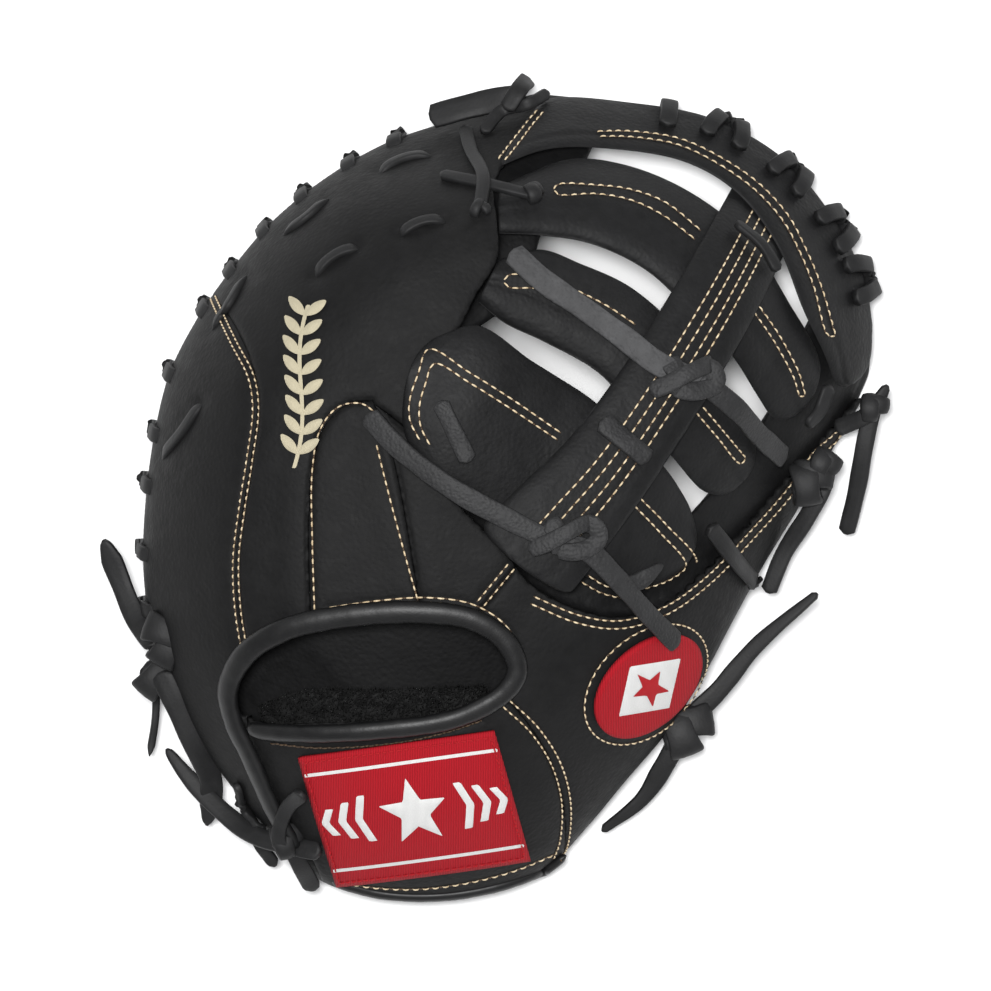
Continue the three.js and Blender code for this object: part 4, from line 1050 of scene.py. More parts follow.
# The painted shade of the stitch holes, with the dark row along the strap's top.
make("dark_stitches_and_hole_shade", *joined(dark_stitch_and_hole_shade_parts), dark_thread_and_hole_shade, "leather")


# Rolls of glossy leather: one round the wrist opening and the strap's top, one along the heel.
ROLL_PITCH = 1.6
ROLL_SIDES = 14
ROLL_END = 5


def roll(name, places, widths, thick, replaced=(), lift=0.0):
    """A roll along places on the back, from the first of its widths to the last."""
    line = charted(places, pitch=ROLL_PITCH)
    k = np.arange(len(line))
    side = np.column_stack([leftward(unit(np.gradient(line, axis=0))), np.zeros(len(line))])
    normals = normals_at(*line.T)
    across = unit(side - normals * (side * normals).sum(1)[:, None])
    middle = np.column_stack([line, back_height(*line.T)])
    middle += normals * (thick / 2 + CLEARANCE / 2 + lift)
    wide = np.interp(k / k[-1], np.linspace(0, 1, len(widths)), widths)
    half = 1 + 0.015 * np.sin(k * 1.9) + 0.02 * np.sin(k * 0.7)
    half *= (0.2 + 0.8 * quarter_round(np.minimum(k, k[-1] - k) * ROLL_PITCH / ROLL_END)) / 2
    made = swept(middle, (half * wide)[:, None] * across, (half * thick)[:, None] * normals,
                 circle(ROLL_SIDES))
    return make(name, *made, binding_leather, "leather", replaced)


# The roll goes down the strap's left side, round the opening and back along the strap's top.
opening_roll = BINDINGS["wrist_binding"][:-2] + [(1.6, -16.6), (0.6, -18.5)]
opening_roll += list(reversed(BINDINGS["strap_binding"])) + [(-24.8, -22.3)]
roll("opening_roll", opening_roll, (8.2, 8.4, 8.2, 7.2, 6.6), BINDING_THICK,
     ["wrist_binding", "strap_binding"])
HEEL_ROLL = [(-17, -38.6), (-12, -39.9), (-6, -40.1), (0, -39.1), (4, -37.7), (6.6, -36)]
roll("heel_roll", HEEL_ROLL, (5.4, 5.4), 4, lift=-2.4)


# Patches: woven cloth draped on the leather, with a thread edge and a plain raised figure.
def cloth(name, base, weave):
    material, tree, shader = nodes_of(name)
    coords = object_coords(tree)
    wave = tree.nodes.new("ShaderNodeTexWave")
    wave.inputs["Scale"].default_value = weave
    wave.inputs["Distortion"].default_value = 1.2
    wave.inputs["Detail"].default_value = 2.0
    tree.links.new(coords, wave.inputs["Vector"])
    dark = tuple(c * 0.62 for c in base)
    light = tuple(min(1, c * 1.15) for c in base)
    tone = ramp(tree, wave.outputs["Fac"], [(0.2, dark), (0.7, light)])
    tree.links.new(tone, shader.inputs["Base Color"])
    first = bump(tree, wave.outputs["Fac"], 0.6, 0.0003)
    fuzz = bump(tree, noise(tree, coords, 1800, 2), 0.5, 0.0002, first)
    tree.links.new(fuzz, shader.inputs["Normal"])
    shader.inputs["Roughness"].default_value = 0.8
    shader.inputs["Specular IOR Level"].default_value = 0.18
    return material


red_cloth = cloth("red_cloth", (0.34, 0.006, 0.013), 520)
red_thread = cloth("red_thread", (0.42, 0.012, 0.018), 900)
white_thread = cloth("white_thread", (0.72, 0.72, 0.71), 800)
cream_thread = cloth("cream_thread", (0.5, 0.45, 0.32), 800)


def patch_point(spec, u, v, lift):
    """A point at u, v millimetres from a patch's middle, this far above the leather."""
    x, y = np.array(turned(u - spec["lean"] * v, v, spec["turn"])) + at(spec["middle"])[:, None]
    return np.column_stack([x, y, back_height(x, y)]) + normals_at(x, y) * lift


PATCH_STEPS = 56
PATCH_TOP = CLEARANCE + PATCH_THICK


def patch(name, spec, is_round, material, replaced):
    """A patch of cloth, square or bent to an oval, whose edge sinks towards the leather."""
    n = PATCH_STEPS
    u, v = np.meshgrid(np.linspace(-1, 1, n), np.linspace(-1, 1, n), indexing="ij")
    u, v = u.ravel(), v.ravel()
    if is_round:
        u, v = u * np.sqrt(1 - v * v / 2), v * np.sqrt(1 - u * u / 2)
    edge = np.maximum(np.abs(u), np.abs(v)) if not is_round else np.hypot(u, v)
    sag = 0.9 * smoothstep(edge, 0.93, 1.0)
    wide, long = spec["wide"] / 2, spec["long"] / 2
    top = patch_point(spec, u * wide, v * long, PATCH_TOP) - [0, 0, 1] * sag[:, None]
    under = patch_point(spec, u * wide, v * long, CLEARANCE / 2)
    faces = []
    for i in range(n - 1):
        for j in range(n - 1):
            a = i * n + j
            faces.append((a, a + n, a + n + 1, a + 1))
            faces.append((n * n + a + 1, n * n + a + n + 1, n * n + a + n, n * n + a))
    border = [i * n for i in range(n)] + [(n - 1) * n + j for j in range(1, n)]
    border += [i * n + n - 1 for i in range(n - 2, -1, -1)] + [j for j in range(n - 2, 0, -1)]
    for a, b in zip(border, border[1:] + border[:1]):
        faces.append((b, a, n * n + a, n * n + b))
    return make(name, np.vstack([top, under]), faces, material, "patch", replaced)


patch("label_cloth", LABEL, False, red_cloth, ["label_patch"])
patch("oval_cloth", OVAL, True, red_cloth, ["oval_patch"])


FIGURE_GRID = 1.3


def figure(name, spec, outline, material, slot="patch", lift=PATCH_TOP, height=0.6):
    """A raised figure: a flat outline of millimetres, filled and domed, on a patch or the back."""
    ring = evenly(np.array(outline, float), pitch=1.0, closed=True)
    n = len(ring)
    xs, ys = [np.arange(low, high, FIGURE_GRID) for low, high in zip(ring.min(0), ring.max(0))]
    gx, gy = [g.ravel() for g in np.meshgrid(xs, ys)]
    keep = inside_outline(gx, gy, ring)
    inner = np.column_stack([gx[keep], gy[keep]])
    if len(inner):
        inner = inner[nearness(inner, ring) > 0.6]
    found = delaunay_2d_cdt([Vector(p) for p in (*ring, *inner)],
                            [(i, (i + 1) % n) for i in range(n)], [list(range(n))], 1, 1e-4)
    flat = np.array([tuple(v) for v in found[0]])
    dome = height * np.minimum(nearness(flat, ring) / 0.8, 1)
    points = patch_point(spec, *flat.T, lift + 0.05) + [0, 0, 1] * dome[:, None]
    return make(name, points, facing_up(points, [tuple(f) for f in found[2]]), material, slot)


def star(size, points=5, inner=0.42):
    found = []
    for k in range(points * 2):
        r = size if k % 2 == 0 else size * inner
        angle = math.radians(90 + 180 * k / points)
        found.append((r * math.cos(angle), r * math.sin(angle)))
    return found


def box_outline(x0, y0, x1, y1):
    return [(x0, y0), (x1, y0), (x1, y1), (x0, y1)]


figure("label_star", LABEL, star(12.5), white_thread)
for side, name in ((-1, "left"), (1, "right")):
    for k, reach in enumerate((17, 23, 29)):
        tall = 8.5 - 1.8 * k
        near, far, point = (side * (reach + by) for by in (-1.4, 1.4, 4.2))
        chevron = [(near, -tall), (far, -tall), (point, 0), (far, tall), (near, tall), (far, 0)]
        figure(f"label_chevron_{name}_{k + 1}", LABEL, chevron, white_thread)
for side, name in ((-1, "low"), (1, "high")):
    bar = box_outline(-34.2, side * 18 - 0.6, 34.2, side * 18 + 0.6)
    figure(f"label_line_{name}", LABEL, bar, white_thread, height=0.3)
figure("oval_diamond", OVAL, [(0, -10.5), (15, 0), (0, 10.5), (-15, 0)], white_thread)
figure("oval_star", OVAL, star(7), red_thread, lift=PATCH_TOP + 0.5)

# A sprig of leaves in cream thread on the outer panel: a waving stem with a leaf to each side.
SPRIG = {"middle": (-19.6, 11.2), "turn": 83, "lean": 0}
STEM_HALF = 0.7
LEAF_AHEAD = 6.5
LEAF_ASIDE = 7.0
LEAF_HALF = 1.9


def stem_wave(x):
    return 2.2 * math.sin(x / 11)


stem = [(x, stem_wave(x)) for x in np.linspace(-29, 29, 30)]
stem_outline = [(x, y + STEM_HALF) for x, y in stem]
stem_outline += [(x, y - STEM_HALF) for x, y in reversed(stem)]
figure("sprig_stem", SPRIG, stem_outline, cream_thread, "leather", lift=0.4, height=0.7)
leaf = [(s, LEAF_HALF * math.sin(math.pi * s) ** 0.8) for s in np.linspace(0, 1, 9)]
for k, x in enumerate(np.linspace(-24, 25, 8)):
    for side, name in ((-1, "low"), (1, "high")):
        ahead = np.array([LEAF_AHEAD, side * LEAF_ASIDE])
        across = leftward(unit(ahead)[None])[0]
        start = np.array([x, stem_wave(x)])
        outline = [start + ahead * s + across * w for s, w in leaf]
        outline += [start + ahead * s - across * w for s, w in reversed(leaf[1:-1])]
        figure(f"sprig_leaf_{k + 1}_{name}", SPRIG, outline, cream_thread, "leather",
               lift=0.4, height=0.8)

# A red thread edge round the label.
EDGE_INSET = 1.8
edge_wide, edge_long = LABEL["wide"] / 2 - EDGE_INSET, LABEL["long"] / 2 - EDGE_INSET
edge_corners = np.array(box_outline(-edge_wide, -edge_long, edge_wide, edge_long), float)
edge_line = evenly(edge_corners, pitch=1.0, closed=True)
edge_line = np.vstack([edge_line, edge_line[:1]])
edge_points = patch_point(LABEL, *edge_line.T, PATCH_TOP + 0.1)
edge_parts = []
stitch_along(edge_points, normals_at(edge_points[:, 0], edge_points[:, 1]), 2.6, 0.5, edge_parts)
make("label_thread", *joined(edge_parts), red_thread, "patch")


# Laces: flat leather with rounded edges, as rows of charted places. A lift is in millimetres off
# the back, a level or an exact height in hundredths of the mitt's depth.
ON_BACK = 1.8
ON_POST = WEB_REST + POST_THICK + ON_BACK


def placed(row):
    """A row's point. A level is pushed out of the way of the rim, and an exact one stays."""
    place, kind, amount = row
    x, y = at(place)
    if kind == "lift":
        return off_back(x, y, amount)[0]
    free = LACE_WIDTH / 2 + 2 * CLEARANCE
    z = amount * MITT_DEPTH / 100
    if kind == "exact":
        return np.array([x, y, z])
    gaps = np.linalg.norm(rim_line - [x, y], axis=1)
    near = rim_line[int(np.argmin(gaps))]
    inside = bool(inside_outline(np.array([x]), np.array([y]), rim_line)[0])
    away = unit((near - [x, y]) if inside else ([x, y] - near))
    gap = gaps.min() * (-1 if inside else 1)
    if gap < free and z < RIM_TOP + rim_lift(*near) + 3 * LACE_WIDTH:
        x, y = near + away * free
    return np.array([x, y, z])


# A lace's cross-section, from one edge to the other and back.
LACE_SHAPE = np.array([
    (-0.5, 0), (-0.485, 0.34), (-0.43, 0.5), (-0.15, 0.52), (0.15, 0.52), (0.43, 0.5),
    (0.485, 0.34), (0.5, 0), (0.485, -0.34), (0.43, -0.5), (0, -0.5), (-0.43, -0.5),
    (-0.485, -0.34),
])


def cupped(by):
    """The lace's cross-section with its edges bent down."""
    return LACE_SHAPE - [0, by] * LACE_SHAPE[:, :1] ** 2


def ribbon_mesh(points, normals, width, thick, seed=0, taper=(0, 0), rounding=1.1):
    """A flat lace through points, its face turned to the normals, a little uneven."""
    points = np.asarray(points, float)
    tangent = unit(np.gradient(points, axis=0))
    side = unit(np.cross(tangent, normals))
    k = np.arange(len(points))
    reach = reach_along(points)
    wide = width * (1 + 0.04 * np.sin(k * 0.17 + seed) + 0.02 * np.sin(k * 0.5 + 2 * seed))
    for far, size in ((reach, taper[0]), (reach[-1] - reach, taper[1])):
        if size:
            wide *= 0.42 + 0.58 * np.minimum(1, far / size)
        wide *= 0.3 + 0.7 * quarter_round(far / rounding)
    return swept(points, wide[:, None] * side, thick * np.cross(side, tangent), cupped(0.15))


def strand_mesh(rows, width=LACE_WIDTH, seed=0, taper=(0, 0), rounding=1.1):
    """A lace through rows, swaying and leaning a little."""
    line = evenly(smooth([placed(row) for row in rows]), pitch=1.3)
    share = np.linspace(0, 1, len(line))
    line[:, 2] += 0.5 * np.sin(share * 9 + seed) * np.sin(math.pi * share)
    normals = np.tile([0.0, 0.0, 1.0], (len(line), 1))
    if all(row[1] == "lift" for row in rows):
        normals = normals_at(line[:, 0], line[:, 1])
    lean = 0.3 * np.sin(share * 3 + seed * 1.7)
    normals = normals + lean[:, None] * np.cross(unit(np.gradient(line, axis=0)), normals)
    return ribbon_mesh(line, normals, width, LACE_THICK, seed, taper, rounding)


def band_mesh(centre, across, up, reach, tall, width):
    """One turn of lace round a knot's core, in the plane of two directions."""
    turn = turns(30)
    c, d = np.cos(turn)[:, None], np.sin(turn)[:, None]
    line = centre + across * c * reach + up * d * tall
    outward = across * c * tall + up * d * reach
    tangent = unit(np.roll(line, -1, axis=0) - np.roll(line, 1, axis=0))
    side = unit(np.cross(tangent, outward))
    wide = width * (1 + 0.1 * np.sin(2 * turn + reach))
    return swept(line, wide[:, None] * side, LACE_THICK * np.cross(side, tangent), cupped(0.88),
                 looped=True)


# The bands of a knot: turn from square to the knot's length, shift along it, and how far out.
KNOT_BANDS = [(-44, 0.14, 0.2), (36, -0.1, 1.2)]


def knot_parts(row, long, wide, tall, turn, seed=0):
    """A tied knot: broad turns of lace crossing over a core."""
    centre = placed(row)
    angle = math.radians(turn)
    axis = np.array([math.cos(angle), math.sin(angle), 0.0])
    up = np.array([0.0, 0.0, 1.0])
    if row[1] == "lift":
        up = normals_at(*centre[:2])[0]
        axis = unit(axis - up * axis.dot(up))
    side = np.cross(up, axis)
    parts = []
    for degrees, shift, out in KNOT_BANDS:
        lean = math.radians(degrees + 6 * math.sin(3 * seed))
        across = side * math.cos(lean) + axis * math.sin(lean)
        reach = 1 / math.hypot(math.cos(lean) / (wide / 2), math.sin(lean) / (long / 2))
        parts.append(band_mesh(centre + axis * long * shift, across, up,
                               reach * 0.8 + out * 0.5, tall * 0.36 + out, long * 0.56))
    core = [centre + axis * a * long * 0.46 for a in np.linspace(-1, 1, 11)]
    parts.append(ribbon_mesh(core, np.tile(up, (11, 1)), wide * 0.62, tall * 0.7, seed, (4, 4)))
    return parts


def rows_of(kind):
    """Makes rows of this kind from charted places, each with its amount as a third number."""
    return lambda *places: [(place[:2], kind, place[2]) for place in places]


lift, level, exact = rows_of("lift"), rows_of("level"), rows_of("exact")
# For each lace: its strands, and its knots as a row, length, width, height and turn.
LACES = {
    "lace_web_upper": ([
        lift((1, 24.4, ON_BACK), (4, 21.6, 2.4), (8, 18.8, 2.8), (11.6, 16, 5),
            (15.5, 13, ON_POST + 0.4), (19.5, 11.6, ON_POST + 1)),
    ], []),
    "lace_web_lower": ([
        lift((-13, 8.4, ON_BACK), (-10, 5.2, ON_BACK + 2), (-5, 1.4, 7.6), (0, -1.4, 8.4),
            (4.6, -3.6, 8.8), (8, -4.6, 8.6), (11, -7.4, 5.6), (14, -10.8, 3),
            (16.8, -13.8, ON_BACK + PATCH_THICK + 1)),
        lift((11.6, -8.4, 2.8), (13.4, -7.8, 2.8), (15.6, -6.2, 2.4)),
    ], []),
    "lace_post_low": ([
        lift((9.7, 7.8, ON_POST - 1.4), (12, 5.9, ON_POST - 0.6), (14.3, 4, ON_POST - 1.2)),
    ], []),
    "lace_post_high": ([
        lift((22.9, 27, ON_POST - 1.6), (25.2, 24.8, ON_POST - 0.6), (27, 22.4, ON_POST - 1.8)),
    ], []),
    "lace_hood": ([
        lift((-6, 9.6, TOP_REST + 7.4), (-3.2, 3.8, TOP_REST + 7)),
    ], []),
    "lace_thumb_edge": ([
        lift((21.2, -2.8, ON_BACK - 3), (23, -5.6, ON_BACK), (25.2, -8.2, ON_BACK + 1)),
    ], []),
    "knot_fingertip": ([
        exact((-7.1, 38.6, 34), (-3, 39.7, 36), (0.8, 40.5, 38), (2.6, 40.6, 38)),
        lift((-1.7, 36.6, 1.4), (0.6, 38.2, 4.5)) + exact((2.8, 39.8, 43), (4.8, 41, 36)),
        exact((2.8, 42.4, 32), (2, 41.4, 42), (0.6, 39.2, 43)),
    ], []),
    "lace_fingertip_cross": ([
        lift((-3.4, 37, ON_BACK), (-2.8, 34.4, ON_BACK + 0.6), (-1.6, 31.2, ON_BACK + 2),
            (-2, 28.4, ON_BACK)),
        lift((-5.8, 32, ON_BACK), (-2, 31.1, ON_BACK + 0.4), (0.4, 30.5, 2.2), (3.6, 30, 0.8)),
    ], [(*lift((3.2, 30.4, 0.6)), 9, 5, 4, 75), (*lift((-2, 28.6, 1.4)), 6, 6, 3.4, 20)]),
    "knot_little_finger": ([
        level((-40, -4, 34), (-38.6, -7.6, 32), (-36.6, -12, 34)) + exact((-34.6, -14.6, 44)),
        lift((-33.4, -17, 3), (-32.2, -20, 2.4), (-30.4, -24, 2.4)) + exact((-29.3, -28, 27),
            (-29.3, -30.6, 22), (-29.8, -32.9, 18)),
        level((-34.6, -19, 22), (-35, -22.5, 19), (-35.6, -26, 18)),
    ], [(*exact((-33.3, -13.8, 47)), 19, 18, 9, -80), (*exact((-34, -17.7, 38)), 18, 19, 9, -10)]),
    "knot_strap": ([
        level((-33.8, -25.2, 22), (-31.8, -27.8, 23), (-29.2, -30.5, 25), (-26.6, -32.7, 28),
            (-23.6, -34.2, 34), (-20.4, -34.9, 44), (-18, -35.3, 48)),
        level((-22, -35.2, 46), (-22.2, -33.4, 50), (-21.4, -31, 54)) + lift((-19.3, -28.8, 3.2)),
        exact((-21.4, -34.2, 46), (-20, -37, 38), (-18.9, -39.3, 28)),
        level((-24.4, -34.2, 26), (-22.8, -37, 20)),
        lift((-26.2, -28.4, 1.8), (-25.4, -31, 1.8), (-23.4, -33.2, 2.2)),
    ], [(*level((-21.6, -34, 44)), 13, 12, 8, 60)]),
    "knot_thumb_tip": ([
        lift((33.6, 7.4, 1.8)) + level((36, 9.4, 29), (39.2, 11.6, 30)),
        level((37.6, 10.4, 29), (37, 6, 26), (36.2, 1, 20), (35.2, -3.4, 14)),
    ], [(*level((37, 10, 29)), 11, 9, 8, 30)]),
    "knot_thumb_side": ([
        level((33.6, 4.8, 27), (32, 1.6, 29), (30.6, -1.4, 26), (28.8, -5.4, 22),
            (27.2, -9.4, 19)),
    ], [(*exact((31.2, 2, 34)), 18, 15, 9, 50), (*exact((32.6, 3.8, 34)), 12, 11, 8, 20)]),
    "knot_thumb_heel": ([
        level((17.4, -25.8, 22), (19, -22.4, 26), (22, -19.4, 28), (26, -14.6, 32),
            (32, -9.4, 36)),
        level((18.4, -23.6, 25), (16.6, -27, 21), (14.4, -30.4, 17), (10.4, -33.6, 12)),
    ], [(*level((18.5, -23, 27)), 21, 18, 9, 50)]),
}
LACE_WIDTHS = {
    "lace_web_upper": (8.4,), "lace_web_lower": (7.6, 6.4), "lace_thumb_edge": (6.6,),
    "lace_post_low": (7.8,), "lace_post_high": (4.6,),
    "knot_little_finger": (8, 8.4, 2.8), "knot_strap": (7, 5.6, 6.6, 4.8, 5),
    "knot_thumb_heel": (7.2, 7.2), "knot_fingertip": (9, 4.6, 6.4), "lace_fingertip_cross": (4.8, 4.4),
}
# How far the free ends narrow, in millimetres, at each strand's start and end.
TAPERS = {
    "knot_little_finger": [(8, 0), (0, 8), (0, 4)],
    "knot_strap": [(16, 0), (0, 0), (0, 0), (0, 0), (0, 0)],
    "knot_thumb_tip": [(0, 10), (0, 0)],
    "knot_thumb_heel": [(0, 44), (0, 30)],
    "lace_web_lower": [(0, 0), (0, 9)],
}
ROUND_LACES = ("knot_little_finger", "knot_strap")
ROUGH_LACES = ("lace_web_upper",)
DULL_LACES = ("lace_web_lower", "lace_hood", "lace_post_low")

for index, (lace_name, (strands, knots)) in enumerate(LACES.items()):
    widths = LACE_WIDTHS.get(lace_name, [LACE_WIDTH] * len(strands))
    tapers = TAPERS.get(lace_name, [(0, 0)] * len(strands))
    rounding = 3.2 if lace_name in ROUND_LACES else 1.1
    lace_parts = [strand_mesh(rows, widths[k], seed=index + 0.6 * k, taper=tapers[k], rounding=rounding)
                  for k, rows in enumerate(strands)]
    for knot in knots:
        lace_parts += knot_parts(*knot, seed=index)
    lace_material = rough_lace if lace_name in ROUGH_LACES else lace_leather
    if lace_name in DULL_LACES:
        lace_material = dull_lace
    make(lace_name + "_leather", *joined(lace_parts), lace_material, "lace", [lace_name])


# The knots of the web's laces, each a loop with a turn over it, the upper lace's tail, and a small
# tie at the thumb side of the web.
TIES = {
    "web_upper_tail": ([
        lift((19, 11.8, ON_POST + 1), (22.4, 9.2, ON_POST), (25.2, 6.8, 2.6), (28.2, 4.4, 1.6)),
    ], (7.8,), dull_lace, ["lace_web_upper"]),
    "web_upper_knot": ([
        lift((19.2, 13, ON_POST + 1.4), (20.3, 12.6, ON_POST + 2), (20.5, 11.5, ON_POST + 2.2),
            (19.4, 10.8, ON_POST + 2.2), (17.8, 10.6, ON_POST + 1.8), (16.4, 10.9, ON_POST + 1)),
        lift((16, 13.6, ON_POST + 0.4), (16.8, 12.2, ON_POST + 2.4), (17.2, 10.2, ON_POST + 0.4)),
        lift((14.4, 10.6, ON_POST - 0.4), (15.8, 11.2, ON_POST + 3), (17.6, 12.2, ON_POST + 4.6),
            (19.4, 13, ON_POST + 3.4), (20.2, 13.2, ON_POST + 1)),
    ], (6.6, 7.4, 6.4), dull_lace, ["lace_web_upper"]),
    "web_lower_knot": ([
        lift((7.6, -2, 9), (8.8, -2.3, 9.8), (9.2, -3.4, 10), (8.2, -4.4, 10), (6.6, -4.8, 9.6),
            (5.2, -4.6, 8.8)),
        lift((4.4, -1.8, 8), (5.2, -3, 10), (5.6, -5, 8)),
        lift((2.6, -4.6, 7.4), (4, -4, 10.6), (5.8, -3, 12), (7.6, -2.1, 11), (8.6, -1.9, 8.8)),
    ], (6.4, 7.2, 6.2), dull_lace, ["lace_web_lower"]),
    "thumb_side_tie": ([
        lift((33, 11.6, 1), (31.8, 9.2, 2), (30.6, 7.6, 1.4)),
    ], (6,), lace_leather, []),
}
for tie_name, (strands, widths, tie_material, tied) in TIES.items():
    tie_parts = [strand_mesh(rows, widths[k], seed=k + 0.4) for k, rows in enumerate(strands)]
    make(tie_name, *joined(tie_parts), tie_material, "lace", tied)


# Pad stitches: laces that come up through one hole and go down through the next.
for number, (start, end) in enumerate(PAD_STITCHES, 1):
    ahead = at(end) - at(start)
    across = leftward(unit(ahead)[None])[0]
    share = np.linspace(-0.06, 1.06, 26)
    arch = np.sin(math.pi * np.clip(share, 0, 1))
    bow = 1.6 * arch * (1 if number % 2 else -1)
    flat = at(start) + ahead * share[:, None] + across * bow[:, None]
    rise = 0.7 * arch**0.6 - 3.0 * np.abs(2 * share - 1) ** 6 + 0.2
    made = ribbon_mesh(*on_back(flat, rise[:, None]), LACE_WIDTH * 0.62, LACE_THICK, number)
    make(f"pad_lace_{number}", *made, lace_leather, "lace", [f"pad_stitch_{number}"])


# Whip lacing over the rim and over the web's band.
RIM_LOOPS = [0.935, 0.913, 0.889, 0.867, 0.846, 0.826, 0.796, 0.77, 0.748, 0.72, 0.696]
BAND_LOOPS = [0.052, 0.072, 0.085, 0.104, 0.12, 0.135, 0.15, 0.161, 0.174]
LOOP_REACH = 4
LOOP_SLANT = 3
BAND_REACH = 9
# Each pair of band loops: how far its loops stand apart at their holes and at the rim.
PAIR_HOLES = 13.6
PAIR_RIM = 4.6


def winding(outline):
    p, q = outline, np.roll(outline, -1, axis=0)
    return np.sign((p[:, 0] * q[:, 1] - q[:, 0] * p[:, 1]).sum())


def loop_mesh(share, top_lift, swell, reach, sideways, width, thick, seed, tucked=False):
    """A lace from its hole over the rim, or round the band's edge and under it when tucked. Its
    two ends lie sideways along the rim."""
    count = len(rim_line)
    i = round(share * count) % count
    p = rim_line[i]
    tangent = unit(rim_line[(i + 3) % count] - rim_line[i - 3])
    outward = np.array([tangent[1], -tangent[0]]) * winding(rim_line)
    rise = LACE_THICK / 2 + CLEARANCE + 0.4
    stops = [-reach, -reach * 0.75, -reach / 2, -reach / 5, 0.2 * rise, rise, rise, rise * 0.8]
    falls = [0, 0, 0, 0, 0, 1.5, RIM_TOP * 0.4, RIM_TOP * 0.75]
    dip = [2.6, 0.6, 0, 0, 0, 0, 0, 0]
    if tucked:
        stops[6:] = [-1.5, -6]
    points, normals = [], []
    for k, stop in enumerate(stops):
        done = min(1, k / (len(stops) - 4))
        lean = sideways[0] + (sideways[1] - sideways[0]) * done**1.6
        x, y = p + outward * stop + tangent * lean
        if tucked and k > 5:
            point, normal = off_back(x, y, WEB_REST - thick * 0.8)
            normal = -normal
        elif stop > 0.5:
            point = np.array([x, y, RIM_TOP + rim_lift(x, y) - falls[k]])
            normal = np.array([*outward, 0.15])
        else:
            swollen = swell * quarter_round(-stop / BAND_REACH)
            point, normal = off_back(x, y, top_lift + swollen - dip[k])
        points.append(point)
        normals.append(normal)
    line = evenly(smooth(points), pitch=1.0)
    spots = np.linspace(0, 1, len(points))
    share = np.linspace(0, 1, len(line))
    facing = unit(np.column_stack([np.interp(share, spots, part) for part in np.transpose(normals)]))
    return ribbon_mesh(line, facing, width, thick, seed)


for number, share in enumerate(RIM_LOOPS, 1):
    ends = (-LOOP_SLANT / 2, LOOP_SLANT / 2)
    made = loop_mesh(share, ON_BACK - 0.5, 0, LOOP_REACH * 0.6, ends, LACE_WIDTH * 0.85,
                     LACE_THICK, number)
    make(f"rim_lace_{number}", *made, lace_leather, "lace", [f"rim_loop_{number}"])
rim_length = np.linalg.norm(np.roll(rim_line, -1, axis=0) - rim_line, axis=1).sum()
for number, share in enumerate(BAND_LOOPS, 1):
    mate = number + 1 if number % 2 == 0 else number - 1
    pair = (share + BAND_LOOPS[mate - 1]) / 2 if mate else share
    hand = (-1 if number % 2 == 0 else 1) if mate else 0
    off = (pair - share) * rim_length
    ends = (off + hand * PAIR_HOLES / 2, off + hand * PAIR_RIM / 2)
    made = loop_mesh(share, ON_BACK, BAND_THICK * 0.9, BAND_REACH + 1, ends, LACE_WIDTH * 0.95,
                     LACE_THICK * 1.5, number, tucked=True)
    make(f"band_lace_{number}", *made, lace_leather, "lace", [f"band_loop_{number}"])


# Pile under the strap: short leaning locks fused to their backing.
PILE_EDGE = [(-24.2, -20.6), (-20, -19), (-12, -18.8), (-5, -18.6), (-1.6, -18.4)]
PILE_UNDER = [(-23.2, -25.4), (-19, -27), (-11.6, -27.4), (-5, -26.6), (0.4, -24)]
LOCKS = 5200


def pile():
    material, tree, shader = nodes_of("black_pile")
    coords = object_coords(tree)
    tone = ramp(tree, noise(tree, coords, 260), [(0.3, (0.003,) * 3), (0.72, (0.016,) * 3)])
    tree.links.new(tone, shader.inputs["Base Color"])
    tree.links.new(bump(tree, noise(tree, coords, 2200, 2), 0.6, 0.0003), shader.inputs["Normal"])
    shader.inputs["Roughness"].default_value = 0.95
    shader.inputs["Specular IOR Level"].default_value = 0.15
    edge, under = charted(PILE_EDGE, count=40), charted(PILE_UNDER, count=40)
    t = np.linspace(0, 1, 9)
    x = edge[:, None, 0] * (1 - t) + under[:, None, 0] * t
    y = edge[:, None, 1] * (1 - t) + under[:, None, 1] * t
    top = back_height(x.ravel(), y.ravel(), LEATHER).reshape(x.shape) - 3 * CLEARANCE - 2.5
    upper = np.dstack([x, y, top])
    lower = upper - [0, 0, PILE_THICK - 3]
    parts = [rings_mesh(np.concatenate([upper, lower[:, ::-1]], axis=1))]
    random = np.random.default_rng(8)
    s, r = random.uniform(0, 1, LOCKS), random.uniform(0, 1, LOCKS) ** 1.3
    roots = sampled(upper, s, r)
    for root in roots:
        lean = random.normal(0, 0.8, 2)
        tip = root + [lean[0] + 0.5, lean[1] + 0.9, 2.6 + random.uniform(-0.6, 0.9)]
        middle = (root + tip) / 2 + random.normal(0, 0.25, 3)
        girth = random.uniform(0.16, 0.3)
        turn = random.uniform(0, 2.1) + np.array([0, 2.09, 4.19])
        flat = np.column_stack([np.cos(turn), np.sin(turn), np.zeros(3)])
        rings = [root - [0, 0, 0.6] + flat * girth, middle + flat * girth * 0.75, tip + flat * 0.05]
        parts.append(rings_mesh(rings))
    points, faces = joined(parts)
    make("black_pile", points, faces, material, "pile", ["strap_pile"])


pile()


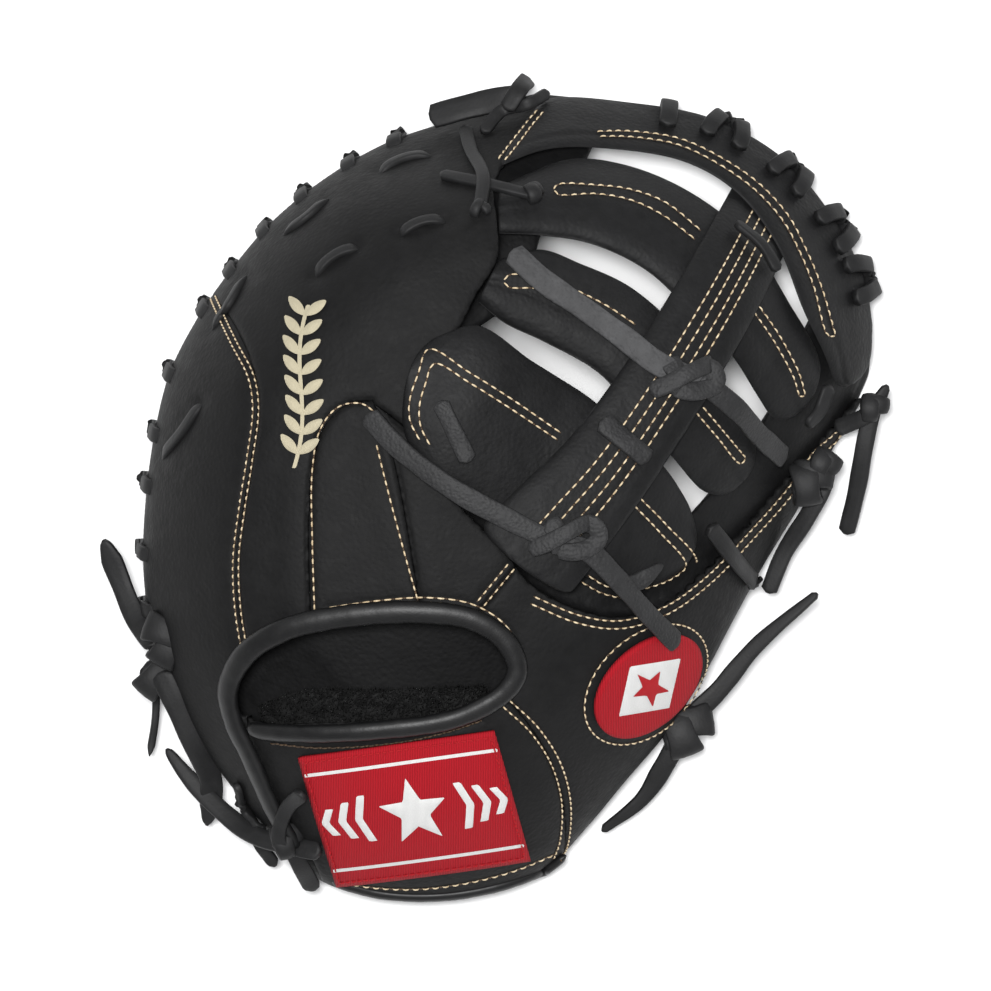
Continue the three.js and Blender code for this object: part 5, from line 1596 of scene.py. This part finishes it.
# Floor, light and camera.
def floor():
    bpy.ops.mesh.primitive_plane_add(size=16, location=(0, 0, 0))
    plane = bpy.context.object
    plane.name = "studio_floor"
    material, tree, shader = nodes_of("pale_floor")
    coords = object_coords(tree)
    tone = ramp(tree, noise(tree, coords, 3), [(0.3, (0.86,) * 3), (0.7, (0.89,) * 3)])
    tree.links.new(tone, shader.inputs["Base Color"])
    shader.inputs["Roughness"].default_value = 0.9
    plane.data.materials.append(material)
    return plane


def lamp(name, place, size, power, aim=(0, 0, 0.04)):
    data = bpy.data.lights.new(name, "AREA")
    data.shape = "DISK"
    data.size = size
    data.energy = power
    light = bpy.data.objects.new(name, data)
    bpy.context.scene.collection.objects.link(light)
    light.location = place
    light.rotation_euler = (Vector(aim) - Vector(place)).to_track_quat("-Z", "Y").to_euler()
    return light


stage_pieces = [
    floor(),
    lamp("top_light", (-0.12, 0.14, 3.4), 0.5, 150),
    lamp("key_light", (-1.5, 1.7, 2.0), 1.6, 9),
    lamp("fill_light", (1.9, 0.4, 1.7), 1.8, 6),
    lamp("low_light", (0.3, -2.0, 1.5), 1.5, 5),
]

world = bpy.data.worlds.new("studio")
world.use_nodes = True
world.node_tree.nodes["Background"].inputs["Color"].default_value = (0.97, 0.98, 1.0, 1)
world.node_tree.nodes["Background"].inputs["Strength"].default_value = 0.32
bpy.context.scene.world = world
bpy.context.scene.view_settings.view_transform = "Standard"

CAMERA_HEIGHT = 3.0
IMAGE_SPAN = 0.3568
SENSOR = 36.0
camera_data = bpy.data.cameras.new("photo_camera")
camera_data.sensor_width = SENSOR
camera_data.lens = SENSOR * (CAMERA_HEIGHT - 0.06) / IMAGE_SPAN
camera_data.clip_end = 20
camera = bpy.data.objects.new("photo_camera", camera_data)
bpy.context.scene.collection.objects.link(camera)
image_middle = (np.array([*at((-0.45, 0.45)), 0.0]) + SHIFT) / 1000
camera.location = (image_middle[0], image_middle[1], CAMERA_HEIGHT)
camera.rotation_euler = (0, 0, 0)
bpy.context.scene.camera = camera
